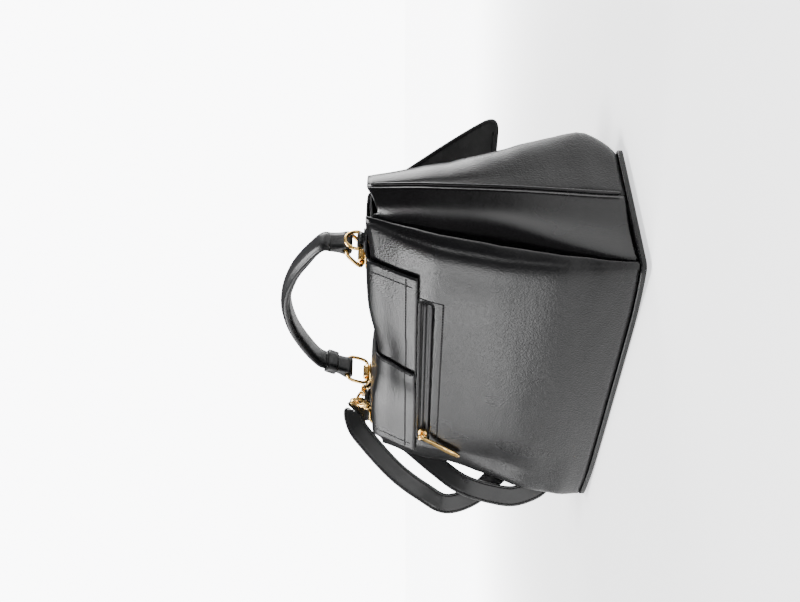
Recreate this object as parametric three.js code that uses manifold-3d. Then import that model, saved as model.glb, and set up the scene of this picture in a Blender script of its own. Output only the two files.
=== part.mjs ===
import * as THREE from "three";
import { mergeVertices } from "three/addons/utils/BufferGeometryUtils.js";
import Module from "manifold-3d";

const wasm = await Module();
wasm.setup();

// Driving dimensions in millimetres. The near end is -X, the flap's front is -Y.
const halfLength = 165; // from the middle to either end at the base
const bagHeight = 207; // top of the walls above the floor
const backDepth = 63; // from the middle of the base to the back panel
const frontDepth = 92; // from the middle of the base to the front belly
const wall = 2; // leather of the walls
const clearance = 0.3; // gap between neighbouring pieces
const rollRadius = 12; // back panel's roll at the near end
const farRollRadius = 28; // the softer roll at the far end
const foldDepth = 18; // how far the side fold goes in
const foldWidth = 22; // from a roll's crease to the gusset's ridge
const seamLean = 25; // how far forward of the middle the piped seam ends
const gussetDip = 9; // how far the gusset's top sinks between its edges
const mouthDrop = 3; // how far the walls under the flap stay below the ends
const topSag = 8; // sag of the top between the handle brackets
const farSlump = 8; // how much lower the far end stands
const baseThickness = 2.4;
const endLift = 3; // how far the base curls up at its ends
const flatHalf = 90; // half length of the flat middle of the base
const weltHeight = 5.5;
const weltBulge = 1; // how far the welt stands out past the walls
const pipingRadius = 1.6;
const dentDepth = 5; // diagonal dent in the back panel's far part
const flapWall = 2;
const flapHalfWidth = 124;
const flapFlare = 20; // how much wider each side of the flap is at its front corners
const flapHem = 167; // height of the flap's edge on the back
const flapReach = 138; // how far forward the flap's edge stands
const flapEnd = 94; // height of the flap's front edge at the middle
const flapCorner = 20; // rounding of the flap's front corners
const lapWidth = 12; // how far the near half runs under the far half
const lapEdge = -3; // where the far half's stitched edge lies
const zipSlotLength = 193;
const zipSlotHeight = 11.5;
const zipMiddleX = 2.5;
const zipMiddleHeight = 159.5;
const zipTapeMargin = 4;
const zipTapeThickness = 1.2;
const ribRadius = 1.7;
const sliderPlace = 88; // the slider's place along the zip, from the middle of the bag
const pullLength = 44;
const pullWidth = 7.6;
const pullThickness = 1.8;
const pullTurn = 0.62; // the pull's lean from straight down, in radians
const pullRest = 0.2; // how far it leans in to lie on the panel
const handleY = -24;
const bracketPlace = 82;
const handleWidth = 22;
const handleThickness = 9;
const handleRise = 281; // height of the middle of the handle's leather at its top
const ringWire = 1.6;
const ringWidth = 27; // between the middles of a handle ring's side bars
const ringHeight = 20;
const nearRingLean = 0.9; // radians from upright, towards the near end
const farRingLean = 0.4;
const tabWidth = 18;
const tabThickness = 2.6;
const dRingPlace = 110;
const dRingY = -15;
const dRingWire = 1.4;
const dRingWidth = 19;
const dRingHeight = 13;
const farDRingLean = -0.55;
const strapWidth = 20;
const strapThickness = 3;
const claspLength = 40; // from the far ring's top to the middle of the strap's bar
const claspThickness = 3.2;

const leather = { color: 0x17181b, roughness: 0.42, metalness: 0 };
const glossLeather = { color: 0x121316, roughness: 0.3, metalness: 0 };
const zipCloth = { color: 0x0d0e10, roughness: 0.6, metalness: 0 };
const gold = { color: 0xe8bd6a, roughness: 0.2, metalness: 1 };

const bag = new THREE.Group();

function addPiece(name, geometry, finish, parent = bag) {
  const mesh = new THREE.Mesh(geometry, new THREE.MeshStandardMaterial(finish));
  mesh.name = name;
  parent.add(mesh);
  return mesh;
}

// Smooth value of a named column at a share of the height, through the rows of a table.
function column(rows, key, at) {
  let i = 0;
  while (i < rows.length - 2 && at > rows[i + 1].at) {
    i += 1;
  }
  const a = rows[i];
  const b = rows[i + 1];
  const before = rows[Math.max(i - 1, 0)];
  const after = rows[Math.min(i + 2, rows.length - 1)];
  const span = b.at - a.at;
  const t = THREE.MathUtils.clamp((at - a.at) / span, 0, 1);
  const slopeA = ((b[key] - before[key]) / Math.max(b.at - before.at, 1e-6)) * span;
  const slopeB = ((after[key] - a[key]) / Math.max(after.at - a.at, 1e-6)) * span;
  const t2 = t * t;
  const t3 = t2 * t;
  const start = (2 * t3 - 3 * t2 + 1) * a[key] + (t3 - 2 * t2 + t) * slopeA;
  return start + (3 * t2 - 2 * t3) * b[key] + (t3 - t2) * slopeB;
}

// A closed geometry from points and triangles, turned to face outwards.
function solidFrom(points, triangles) {
  let volume = 0;
  for (const [a, b, c] of triangles) {
    volume += points[a].dot(new THREE.Vector3().crossVectors(points[b], points[c]));
  }
  const index = triangles.flatMap(([a, b, c]) => (volume < 0 ? [a, c, b] : [a, b, c]));
  const geometry = new THREE.BufferGeometry();
  geometry.setFromPoints(points);
  geometry.setIndex(index);
  geometry.computeVertexNormals();
  return geometry;
}

// A wall between an outer and an inner grid of points, closed along its four edges.
function wallFrom(outer, inner) {
  const rows = outer.length;
  const columns = outer[0].length;
  const points = [...outer.flat(), ...inner.flat()];
  const out = (i, j) => i * columns + j;
  const inn = (i, j) => rows * columns + i * columns + j;
  const triangles = [];
  const quad = (a, b, c, d) => triangles.push([a, b, c], [a, c, d]);
  for (let i = 0; i < rows - 1; i += 1) {
    for (let j = 0; j < columns - 1; j += 1) {
      quad(out(i, j), out(i, j + 1), out(i + 1, j + 1), out(i + 1, j));
      quad(inn(i, j), inn(i + 1, j), inn(i + 1, j + 1), inn(i, j + 1));
    }
    quad(out(i, 0), out(i + 1, 0), inn(i + 1, 0), inn(i, 0));
    quad(out(i + 1, columns - 1), out(i, columns - 1), inn(i, columns - 1), inn(i + 1, columns - 1));
  }
  for (let j = 0; j < columns - 1; j += 1) {
    quad(out(0, j + 1), out(0, j), inn(0, j), inn(0, j + 1));
    quad(out(rows - 1, j), out(rows - 1, j + 1), inn(rows - 1, j + 1), inn(rows - 1, j));
  }
  return solidFrom(points, triangles);
}

// A solid through loops of points: with caps at both ends, or closed on itself.
function loftFrom(loops, closed = false) {
  const count = loops[0].length;
  const points = loops.flat();
  const triangles = [];
  const last = closed ? loops.length : loops.length - 1;
  for (let i = 0; i < last; i += 1) {
    const next = (i + 1) % loops.length;
    for (let j = 0; j < count; j += 1) {
      const k = (j + 1) % count;
      const [a, b] = [i * count + j, i * count + k];
      const [c, d] = [next * count + k, next * count + j];
      triangles.push([a, b, c], [a, c, d]);
    }
  }
  if (!closed) {
    for (const end of [0, loops.length - 1]) {
      const middle = new THREE.Vector3();
      loops[end].forEach((p) => middle.addScaledVector(p, 1 / count));
      points.push(middle);
      for (let j = 0; j < count; j += 1) {
        const pair = [end * count + j, end * count + ((j + 1) % count)];
        triangles.push(end ? [pair[0], pair[1], points.length - 1] : [pair[1], pair[0], points.length - 1]);
      }
    }
  }
  return solidFrom(points, triangles);
}

function toManifold(geometry) {
  const plain = geometry.clone();
  plain.deleteAttribute("normal");
  plain.deleteAttribute("uv");
  const merged = mergeVertices(plain, 1e-4);
  const mesh = new wasm.Mesh({
    numProp: 3,
    vertProperties: merged.attributes.position.array,
    triVerts: new Uint32Array(merged.index.array),
  });
  return new wasm.Manifold(mesh);
}

function fromManifold(solid) {
  const mesh = solid.getMesh();
  const geometry = new THREE.BufferGeometry();
  geometry.setAttribute("position", new THREE.BufferAttribute(mesh.vertProperties, 3));
  geometry.setIndex(new THREE.BufferAttribute(mesh.triVerts, 1));
  geometry.computeVertexNormals();
  return geometry;
}

function joined(...geometries) {
  const solids = geometries.map(toManifold);
  return fromManifold(solids.reduce((sum, next) => sum.add(next)));
}

function cut(geometry, tool) {
  return fromManifold(toManifold(geometry).subtract(toManifold(tool)));
}

// Sections of the body, as shares of the named sizes. back, fold and front are places in depth,
// crease is the roll's radius, valley the side fold's depth, ridge its width.
const levels = [
  { at: 0.0, back: 1.0, crease: 0.33, valley: 0.22, ridge: 0.36, seam: 0.4, side: 1.0, fold: 0.66, front: 0.707, far: 1.0, farCrease: 0.16 },
  { at: 0.04, back: 1.008, crease: 0.38, valley: 0.28, ridge: 0.36, seam: 0.4, side: 1.0, fold: 0.8, front: 0.85, far: 1.005, farCrease: 0.18 },
  { at: 0.1, back: 1.008, crease: 0.46, valley: 0.4, ridge: 0.41, seam: 0.43, side: 1.0, fold: 0.93, front: 1.0, far: 1.01, farCrease: 0.25 },
  { at: 0.2, back: 0.992, crease: 0.66, valley: 0.6, ridge: 0.55, seam: 0.51, side: 1.0, fold: 0.87, front: 1.01, far: 1.01, farCrease: 0.36 },
  { at: 0.32, back: 0.96, crease: 0.8, valley: 0.78, ridge: 0.73, seam: 0.6, side: 1.0, fold: 0.73, front: 0.99, far: 0.98, farCrease: 0.6 },
  { at: 0.445, back: 0.897, crease: 0.92, valley: 0.94, ridge: 1.0, seam: 0.68, side: 1.0, fold: 0.576, front: 0.946, far: 0.94, farCrease: 0.86 },
  { at: 0.57, back: 0.81, crease: 1.0, valley: 1.0, ridge: 1.0, seam: 0.76, side: 0.995, fold: 0.45, front: 0.886, far: 0.9, farCrease: 1.0 },
  { at: 0.7, back: 0.71, crease: 1.0, valley: 1.0, ridge: 0.86, seam: 0.84, side: 0.99, fold: 0.38, front: 0.815, far: 0.895, farCrease: 1.0 },
  { at: 0.82, back: 0.556, crease: 0.84, valley: 0.94, ridge: 0.68, seam: 0.92, side: 0.985, fold: 0.36, front: 0.728, far: 0.905, farCrease: 0.75 },
  { at: 0.92, back: 0.402, crease: 0.62, valley: 0.78, ridge: 0.55, seam: 0.96, side: 0.975, fold: 0.35, front: 0.658, far: 0.91, farCrease: 0.5 },
  { at: 1.0, back: 0.27, crease: 0.42, valley: 0.56, ridge: 0.45, seam: 1.0, side: 0.97, fold: 0.34, front: 0.6, far: 0.91, farCrease: 0.3 },
];

// Half of the outline at one level, from the middle of the back to the middle of the front.
function halfOutline(at, far, inset) {
  const value = (key) => column(levels, key, at);
  const length = halfLength * (far ? value("far") : 1);
  const side = length * value("side");
  const back = backDepth * value("back");
  const radius = far ? farRollRadius * value("farCrease") : rollRadius * value("crease");
  const crease = back - radius;
  const depth = foldDepth * value("valley");
  const width = foldWidth * value("ridge");
  const ridge = crease - width;
  const seam = -seamLean * value("seam");
  const fold = -frontDepth * value("fold");
  const front = -frontDepth * value("front");
  const half = [
    [0, back - inset],
    [0.36 * halfLength, back - inset],
    [0.66 * halfLength, back - inset],
    [length - 1.35 * radius, back - inset],
    [length - 0.32 * radius - 0.7 * inset, back - 0.28 * radius - 0.7 * inset],
    [length - inset, crease],
    [length - 0.5 * depth - 0.5 * inset, crease - 0.26 * width + 0.8 * inset],
    [length - depth - inset, crease - 0.48 * width],
    [length - 0.5 * depth - 0.5 * inset, crease - 0.7 * width - 0.8 * inset],
    [side - 2 - inset, ridge - 0.1 * width],
    [side - 4 - inset, 0.5 * (ridge + seam) - 1],
    [side - inset, seam],
    [side - 1 - inset, 0.5 * (seam + fold)],
    [side - 1 - inset, fold + 0.5 * inset],
    [side - 0.13 * (fold - front) - 7 - 0.7 * inset, fold + 0.72 * (front - fold) - 2 + 0.7 * inset],
    [0.6 * halfLength, front + inset],
    [0.3 * halfLength, front + inset],
    [0, front + inset],
  ];
  return half.map(([x, y]) => [far ? x : -x, y]);
}
const valleyIndex = 7;
const seamIndex = 11;
const frontIndex = 17;
const outlineCount = 2 * frontIndex;

// The closed outline at one level: index 0 is the middle of the back, and it runs round the near end first.
function outlineCurve(at, inset) {
  const near = halfOutline(at, false, inset);
  const far = halfOutline(at, true, inset).slice(1, -1).reverse();
  const ring = [...near, ...far].map(([x, y]) => new THREE.Vector3(x, y, 0));
  return new THREE.CatmullRomCurve3(ring, true, "centripetal");
}

function lift(x) {
  const beyond = Math.max(Math.abs(x) - flatHalf, 0) / (halfLength - flatHalf);
  return endLift * beyond * beyond;
}

// Height of the walls' top at a place on the outline.
function topHeight(x, index) {
  const under = 1 - THREE.MathUtils.smoothstep(Math.abs(x), flapHalfWidth + 12, flapHalfWidth + 28);
  const slump = farSlump * THREE.MathUtils.smoothstep(x, flapHalfWidth + 4, flapHalfWidth + 20);
  const reach = Math.min(Math.abs(x) / (bracketPlace - 8), 1);
  const sag = topSag * Math.cos((Math.PI / 2) * reach) ** 2;
  const folded = Math.min(index, outlineCount - index);
  const inGusset = THREE.MathUtils.clamp((folded - valleyIndex) / (seamIndex - valleyIndex), 0, 1);
  return bagHeight - mouthDrop * under - sag - slump - gussetDip * Math.sin(Math.PI * inGusset);
}

// Height of a share of the wall: only the part beside the flap's hem and above it follows the top.
const footHeight = weltHeight + clearance;
function heightAt(share, top) {
  const straight = footHeight + share * (bagHeight - footHeight);
  return straight - (bagHeight - top) * THREE.MathUtils.smoothstep(share, 0.8, 1);
}

function shareAt(z, top) {
  let [low, high] = [0, 1];
  for (let i = 0; i < 24; i += 1) {
    const middle = 0.5 * (low + high);
    if (heightAt(middle, top) < z) {
      low = middle;
    } else {
      high = middle;
    }
  }
  return 0.5 * (low + high);
}

// The back panel's diagonal dent, deepest along a line from the zip's far end to the lower corner.
function dent(x, z) {
  const along = (0.67 * bagHeight - z) / (0.55 * bagHeight);
  if (x < 0 || along <= 0 || along >= 1) {
    return 0;
  }
  const middle = halfLength * (0.62 + 0.2 * along);
  const off = (x - middle) / (0.09 * halfLength);
  return dentDepth * Math.sin(Math.PI * along) * Math.exp(-off * off);
}

// A point on the body at an outline index and a share of the wall's height.
function bodyPoint(index, share, inset, curves) {
  const place = ((index % outlineCount) + outlineCount) % outlineCount;
  const point = curves.getPoint(place / outlineCount);
  const z = heightAt(share, topHeight(point.x, place));
  const onBack = place < 4 || place > outlineCount - 4;
  const y = onBack ? point.y - dent(point.x, z) : point.y;
  return new THREE.Vector3(point.x, y, z + lift(point.x) * (1 - share));
}

const levelCount = 13;
const levelShares = Array.from({ length: levelCount }, (_, i) => {
  const t = i / (levelCount - 1);
  return t - 0.07 * Math.sin(2 * Math.PI * t);
});

// One wall of the body between two outline indices, with its edges drawn back from its neighbours.
function bodyWall(from, to, steps) {
  const inner = [];
  const outer = [];
  for (const share of levelShares) {
    const outside = outlineCurve(share, 0);
    const inside = outlineCurve(share, wall);
    const wrap = (index) => (((index % outlineCount) + outlineCount) % outlineCount) / outlineCount;
    const shrink = (index) => {
      const step = 0.02;
      const a = outside.getPoint(wrap(index - step));
      const b = outside.getPoint(wrap(index + step));
      return (0.5 * clearance * 2 * step) / a.distanceTo(b);
    };
    const start = from + shrink(from) * 1.2;
    const end = to - shrink(to) * 1.2;
    const indices = steps.map((step) => THREE.MathUtils.clamp(step, start, end));
    outer.push(indices.map((index) => bodyPoint(index, share, 0, outside)));
    inner.push(indices.map((index) => bodyPoint(index, share, wall, inside)));
  }
  return wallFrom(outer, inner);
}

function steps(from, to, spacing) {
  const count = Math.round((to - from) / spacing);
  return Array.from({ length: count + 1 }, (_, i) => from + ((to - from) * i) / count);
}

// Depth of the outer faces at a height, where the wall's top is known.
function backFace(z, top) {
  return backDepth * column(levels, "back", shareAt(z, top));
}
const frontTop = -frontDepth * levels.at(-1).front;

const zipFace = (offset) => backFace(zipMiddleHeight + offset, bagHeight);
const backSlope = Math.atan2(zipFace(6) - zipFace(-6), 12);

// The zip's own frame: X along the zip, Y out of the panel, Z up along it.
const zip = new THREE.Group();
zip.position.set(zipMiddleX, zipFace(0), zipMiddleHeight);
zip.rotation.x = -backSlope;
bag.add(zip);
zip.updateMatrixWorld(true);

function backPanel() {
  const wide = steps(-valleyIndex, -3, 0.5);
  const flat = steps(-2.5, 2.5, 0.5);
  const near = steps(3, valleyIndex, 0.5);
  const panel = bodyWall(-valleyIndex, valleyIndex, [...wide, ...flat, ...near]);
  const slot = new THREE.BoxGeometry(zipSlotLength, 8 * wall, zipSlotHeight);
  slot.applyMatrix4(zip.matrixWorld);
  return cut(panel, slot);
}

addPiece("back_panel", backPanel(), leather);
const gussetSteps = steps(valleyIndex, seamIndex, 0.5);
addPiece("gusset_near", bodyWall(valleyIndex, seamIndex, gussetSteps), leather);
const farGussetSteps = gussetSteps.map((index) => outlineCount - index).reverse();
addPiece("gusset_far", bodyWall(outlineCount - seamIndex, outlineCount - valleyIndex, farGussetSteps), leather);
const frontSide = steps(seamIndex, frontIndex - 2, 0.5);
const frontFarSide = frontSide.map((index) => outlineCount - index).reverse();
const frontMiddle = steps(frontIndex - 1.5, frontIndex + 1.5, 0.5);
const frontSteps = [...frontSide, ...frontMiddle, ...frontFarSide];
addPiece("front_panel", bodyWall(seamIndex, outlineCount - seamIndex, frontSteps), leather);

// A round cord along each seam, outside the walls.
function pipingPath(index) {
  const points = steps(0.02, 0.985, 0.08).map((share) => {
    const outside = outlineCurve(share, 0);
    const point = bodyPoint(index, share, 0, outside);
    const sideways = Math.sign(point.x) * (pipingRadius + 2.4 * clearance);
    return point.add(new THREE.Vector3(sideways, 0, 0));
  });
  return new THREE.CatmullRomCurve3(points, false, "centripetal");
}

function roundSection(radius, sides) {
  const shape = new THREE.Shape();
  for (let i = 0; i < sides; i += 1) {
    const angle = (2 * Math.PI * i) / sides;
    const [x, y] = [radius * Math.cos(angle), radius * Math.sin(angle)];
    if (i === 0) {
      shape.moveTo(x, y);
    } else {
      shape.lineTo(x, y);
    }
  }
  return shape;
}

function tube(path, radius, sides, pathSteps) {
  const options = { steps: pathSteps, bevelEnabled: false, extrudePath: path };
  return new THREE.ExtrudeGeometry(roundSection(radius, sides), options);
}

addPiece("piping_near", tube(pipingPath(seamIndex), pipingRadius, 8, 16), glossLeather);
addPiece("piping_far", tube(pipingPath(outlineCount - seamIndex), pipingRadius, 8, 16), glossLeather);

// The base is a rounded rectangle, flat in its middle and curled up at its ends.
const baseCorner = 7;
const baseFront = -frontDepth * levels[0].front;
const baseMiddle = 0.5 * (backDepth + baseFront);
const baseHalfDepth = 0.5 * (backDepth - baseFront);

// Half depth of the base at a place along it, drawn in by an inset.
function baseHalfAt(x, inset) {
  const fromEnd = Math.max(halfLength - inset - Math.abs(x), 0);
  const radius = baseCorner - inset;
  const round = Math.max(radius - fromEnd, 0);
  return baseHalfDepth - inset - radius + Math.sqrt(Math.max(radius * radius - round * round, 0));
}

function basePlate() {
  const inset = wall + clearance;
  const end = halfLength - inset;
  const ends = [1, 0.995, 0.985, 0.97, 0.9, 0.8, 0.68].map((share) => share * end);
  const stations = [...ends.map((x) => -x), -flatHalf, flatHalf, ...[...ends].reverse()];
  const face = (height) => stations.map((x) => {
    return [1, -1].map((side) => new THREE.Vector3(x, baseMiddle + side * baseHalfAt(x, inset), height + lift(x)));
  });
  return wallFrom(face(0), face(baseThickness));
}
addPiece("base_panel", basePlate(), leather);

function baseWelt() {
  const profile = [
    [-wall, 0],
    [weltBulge, 0.8],
    [weltBulge, weltHeight - 0.8],
    [-wall, weltHeight],
  ];
  const quarter = steps(0, 1, 0.25).map((turn) => {
    return [Math.cos((Math.PI / 2) * turn), Math.sin((Math.PI / 2) * turn)];
  });
  const along = [0.9, 0.8, 0.68, flatHalf / halfLength, 0].map((share) => share * halfLength);
  const corner = quarter.map(([c, s]) => ({
    x: halfLength - baseCorner + baseCorner * c,
    y: baseHalfDepth - baseCorner + baseCorner * s,
    out: [c, s],
  }));
  const side = along.map((x) => ({ x, y: baseHalfDepth, out: [0, 1] }));
  const quadrant = [...corner, ...side];
  const flipX = (row) => ({ x: -row.x, y: row.y, out: [-row.out[0], row.out[1]] });
  const flipY = (row) => ({ x: row.x, y: -row.y, out: [row.out[0], -row.out[1]] });
  const back = [...quadrant, ...quadrant.slice(0, -1).reverse().map(flipX)];
  const ring = [...back, ...[...back].reverse().map(flipY)];
  const loops = ring.map(({ x, y, out }) => profile.map(([outward, height]) => {
    const place = x + outward * out[0];
    return new THREE.Vector3(place, baseMiddle + y + outward * out[1], height + lift(place));
  }));
  return loftFrom(loops, true);
}
addPiece("base_welt", baseWelt(), leather);

// The flap's inner face across the bag: rows run from the hem on the back, over the top, to the front edge.
const plateauRise = 2.2; // how far the flap bows above the walls it crosses
const flapRows = 11;

function flapProfile(x) {
  const within = THREE.MathUtils.clamp(x, -flapHalfWidth, flapHalfWidth);
  const top = topHeight(within, 0);
  const ease = 3.4 * clearance;
  const backAt = (z) => backFace(z, top) + ease;
  const front = frontTop;
  const high = top + plateauRise;
  const drop = high - flapEnd;
  const reach = flapReach + front;
  const rows = [
    [backAt(flapHem), flapHem],
    [backAt(0.6 * flapHem + 0.4 * top), 0.6 * flapHem + 0.4 * top],
    [backAt(top - 9), top - 9],
    [backAt(top) + clearance, top + 0.2],
    [backAt(top) - 3.5, high],
    [0.5 * (backAt(top) + front), high + 0.2],
    [front + 3, high],
    [front - ease, top + 0.2],
    [front - 0.2 * reach, high - 0.22 * drop],
    [front - 0.58 * reach, high - 0.56 * drop],
    [front - 0.9 * reach, high - 0.88 * drop],
    [front - reach, flapEnd],
  ];
  return new THREE.CatmullRomCurve3(rows.map(([y, z]) => new THREE.Vector3(x, y, z)), false, "centripetal");
}

// Half width of the flap at a row, flared towards the front and rounded at its corners.
function flapWidthAt(row) {
  const flare = flapFlare * THREE.MathUtils.clamp((row - 7) / (flapRows - 7), 0, 1);
  const curve = flapProfile(0);
  const toEnd = curve.getPoint(row / flapRows).distanceTo(curve.getPoint(1));
  const round = Math.max(1 - toEnd / flapCorner, 0);
  return flapHalfWidth + flare - flapCorner * (1 - Math.sqrt(Math.max(1 - round * round, 0)));
}

// One half of the flap between two edges; lapped says how far its face is raised at a place.
function flapHalf(edges, count, raised) {
  const outer = [];
  const inner = [];
  const rows = [...steps(0, 9, 0.5), 9.6, 10, 10.3, 10.6, 10.85, flapRows];
  for (const row of rows) {
    const [from, to] = edges(row);
    const line = steps(from, to, (to - from) / count).map((x) => {
      const curve = flapProfile(x);
      const share = THREE.MathUtils.clamp(row / flapRows, 0, 1);
      const tangent = curve.getTangent(share);
      const normal = new THREE.Vector3(0, tangent.z, -tangent.y).normalize();
      const base = curve.getPoint(share).addScaledVector(normal, raised(x));
      return [base.clone().addScaledVector(normal, flapWall), base];
    });
    outer.push(line.map((pair) => pair[0]));
    inner.push(line.map((pair) => pair[1]));
  }
  return wallFrom(outer, inner);
}

const lapRaise = flapWall + clearance;
const farRaise = (x) => lapRaise * (1 - THREE.MathUtils.smoothstep(x, lapWidth + 3, lapWidth + 18));
const nearHalf = flapHalf((row) => [-flapWidthAt(row), lapWidth], 9, () => 0);
const farHalf = flapHalf((row) => [lapEdge - 0.25 * Math.min(row, 4), flapWidthAt(row)], 9, farRaise);
addPiece("flap_near_half", nearHalf, leather);
addPiece("flap_far_half", farHalf, leather);

// Height of the flap's outer face over the handle brackets and strap rings.
const flapTop = topHeight(bracketPlace, 0) + plateauRise + flapWall + 0.2;

// A plain round snap under the flap's front edge.
const snapRadius = 8;
const snapThickness = 2;
function flapSnap() {
  const curve = flapProfile(lapWidth + 20);
  const share = 10.2 / flapRows;
  const tangent = curve.getTangent(share);
  const normal = new THREE.Vector3(0, tangent.z, -tangent.y).normalize();
  const disc = new THREE.CylinderGeometry(snapRadius, snapRadius, snapThickness, 16);
  const turn = new THREE.Quaternion().setFromUnitVectors(new THREE.Vector3(0, 1, 0), normal);
  const centre = curve.getPoint(share).addScaledVector(normal, -0.5 * snapThickness - 2 * clearance);
  disc.applyQuaternion(turn);
  disc.translate(-(lapWidth + 20), centre.y, centre.z);
  return disc;
}
addPiece("flap_snap", flapSnap(), gold);

// The zip: tape with two ribs behind the slot, then the slider and the hanging pull.
const zipAxes = new THREE.Matrix4().makeBasis(
  new THREE.Vector3(0, 0, 1),
  new THREE.Vector3(0, 1, 0),
  new THREE.Vector3(-1, 0, 0),
);
const tapeFace = -wall - 2.5 * clearance;
const ribRise = 1.4 * ribRadius;

// A bar along the zip with its section in the YZ plane, given as height and depth.
function zipBar(section, length) {
  const shape = new THREE.Shape(section.map(([height, depth]) => new THREE.Vector2(height, depth)));
  const bar = new THREE.ExtrudeGeometry(shape, { depth: length, bevelEnabled: false });
  bar.applyMatrix4(zipAxes);
  bar.translate(0.5 * length, 0, 0);
  return bar;
}

function zipTape() {
  const half = 0.5 * zipSlotHeight + zipTapeMargin;
  const back = tapeFace - zipTapeThickness;
  const tape = zipBar([[-half, back], [half, back], [half, tapeFace], [-half, tapeFace]], zipSlotLength + 2 * zipTapeMargin);
  const ribs = [0.24, -0.24].map((share) => {
    const middle = share * zipSlotHeight;
    const arc = steps(0, 1, 0.2).map((turn) => {
      const [c, s] = [Math.cos(Math.PI * turn), Math.sin(Math.PI * turn)];
      return [middle + ribRadius * c, tapeFace + ribRise * s];
    });
    const foot = [[middle - ribRadius, tapeFace - 0.5], [middle + ribRadius, tapeFace - 0.5]];
    return zipBar([...arc, ...foot], zipSlotLength - 4 * clearance);
  });
  return joined(tape, ...ribs);
}
addPiece("zip_tape", zipTape(), zipCloth, zip);

const sliderLength = 11;
const sliderHeight = 8.4;
const sliderThickness = 3;
const bailRadius = 1;
const bailRise = 3.4; // from the slider's face to the middle of the bail's bar
const eyeRadius = 2.6;
const eyeBore = 1.5;
const eyeLength = 4;
const sliderFace = tapeFace + ribRise + clearance;

const slider = new THREE.Group();
slider.position.set(sliderPlace - zipMiddleX, sliderFace, 0);
zip.add(slider);

// A rounded bar whose corners are cut by a share of its height.
function block(length, thickness, height, chamfer) {
  const [x, z] = [length / 2, height / 2];
  const shape = new THREE.Shape();
  shape.moveTo(-x + chamfer, -z);
  shape.lineTo(x - chamfer, -z);
  shape.lineTo(x, -z + chamfer);
  shape.lineTo(x, z - chamfer);
  shape.lineTo(x - chamfer, z);
  shape.lineTo(-x + chamfer, z);
  shape.lineTo(-x, z - chamfer);
  shape.lineTo(-x, -z + chamfer);
  const solid = new THREE.ExtrudeGeometry(shape, { depth: thickness, bevelEnabled: false });
  solid.rotateX(Math.PI / 2);
  solid.translate(0, thickness, 0);
  return solid;
}

function zipSlider() {
  const body = block(sliderLength, sliderThickness, sliderHeight, 2);
  const legHeight = bailRise + bailRadius + 0.4;
  const legs = [-1, 1].map((side) => {
    const leg = new THREE.BoxGeometry(1.4, legHeight, 2.4);
    leg.translate(side * (0.5 * eyeLength + clearance + 0.7), sliderThickness - 0.4 + 0.5 * legHeight, 0);
    return leg;
  });
  const bar = new THREE.CylinderGeometry(bailRadius, bailRadius, eyeLength + 2 * clearance + 1.4, 10);
  bar.rotateZ(Math.PI / 2);
  bar.translate(0, sliderThickness + bailRise, 0);
  const bail = joined(...legs, bar);
  bail.rotateY(-pullTurn);
  return joined(body, bail);
}
addPiece("zip_slider", zipSlider(), gold, slider);

// The pull hangs along -Z of its own frame, turned towards the far end.
const pull = new THREE.Group();
pull.position.set(0, sliderThickness + bailRise, 0);
pull.rotation.set(-pullRest, -pullTurn, 0, "YXZ");
slider.add(pull);

function zipPull() {
  const eye = new THREE.Shape();
  eye.absarc(0, 0, eyeRadius, 0, 2 * Math.PI, false);
  const bore = new THREE.Path();
  bore.absarc(0, 0, eyeBore, 0, 2 * Math.PI, true);
  eye.holes.push(bore);
  const ring = new THREE.ExtrudeGeometry(eye, { depth: eyeLength, bevelEnabled: false, curveSegments: 12 });
  ring.rotateY(Math.PI / 2);
  ring.translate(-0.5 * eyeLength, 0, 0);
  const outline = [
    [0.5 * eyeLength, -eyeRadius + 0.7],
    [0.34 * pullWidth, -0.2 * pullLength],
    [0.5 * pullWidth, -0.8 * pullLength],
    [0.42 * pullWidth, -0.94 * pullLength],
    [0.2 * pullWidth, -pullLength],
  ];
  const shape = new THREE.Shape();
  shape.moveTo(...outline[0]);
  outline.slice(1).forEach(([x, z]) => shape.lineTo(x, z));
  [...outline].reverse().forEach(([x, z]) => shape.lineTo(-x, z));
  const plate = new THREE.ExtrudeGeometry(shape, { depth: pullThickness, bevelEnabled: false });
  plate.rotateX(Math.PI / 2);
  plate.translate(0, 0.5 * pullThickness, 0);
  return joined(ring, plate);
}
addPiece("zip_pull", zipPull(), gold, pull);

// A plate with a round tunnel over it, along Y: it holds the straight bar of a ring.
function saddle(bore, skin, length, plateHalf, plateThickness) {
  const middle = plateThickness + bore;
  const radius = bore + skin;
  const foot = Math.asin(THREE.MathUtils.clamp((middle - plateThickness) / radius, 0, 1));
  const shape = new THREE.Shape();
  shape.moveTo(-plateHalf, 0);
  shape.lineTo(plateHalf, 0);
  shape.lineTo(plateHalf, plateThickness);
  shape.absarc(0, middle, radius, -foot, Math.PI + foot, false);
  shape.lineTo(-plateHalf, plateThickness);
  const tunnel = new THREE.Path();
  tunnel.absarc(0, middle, bore, 0, 2 * Math.PI, true);
  shape.holes.push(tunnel);
  const solid = new THREE.ExtrudeGeometry(shape, { depth: length, bevelEnabled: false, curveSegments: 10 });
  solid.rotateX(Math.PI / 2);
  solid.translate(0, 0.5 * length, 0);
  return solid;
}

// A closed wire ring through points in its own YZ plane.
function wireRing(points, radius, count, sides = 6) {
  const path = new THREE.CatmullRomCurve3(points.map(([y, z]) => new THREE.Vector3(0, y, z)), true, "centripetal");
  const loops = steps(0, 1 - 1 / count, 1 / count).map((share) => {
    const middle = path.getPointAt(share);
    const tangent = path.getTangentAt(share);
    const side = new THREE.Vector3(0, tangent.z, -tangent.y);
    return steps(0, 1 - 1 / sides, 1 / sides).map((turn) => {
      const angle = 2 * Math.PI * turn;
      const point = middle.clone().addScaledVector(side, radius * Math.cos(angle));
      return point.add(new THREE.Vector3(radius * Math.sin(angle), 0, 0));
    });
  });
  return loftFrom(loops, true);
}

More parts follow.
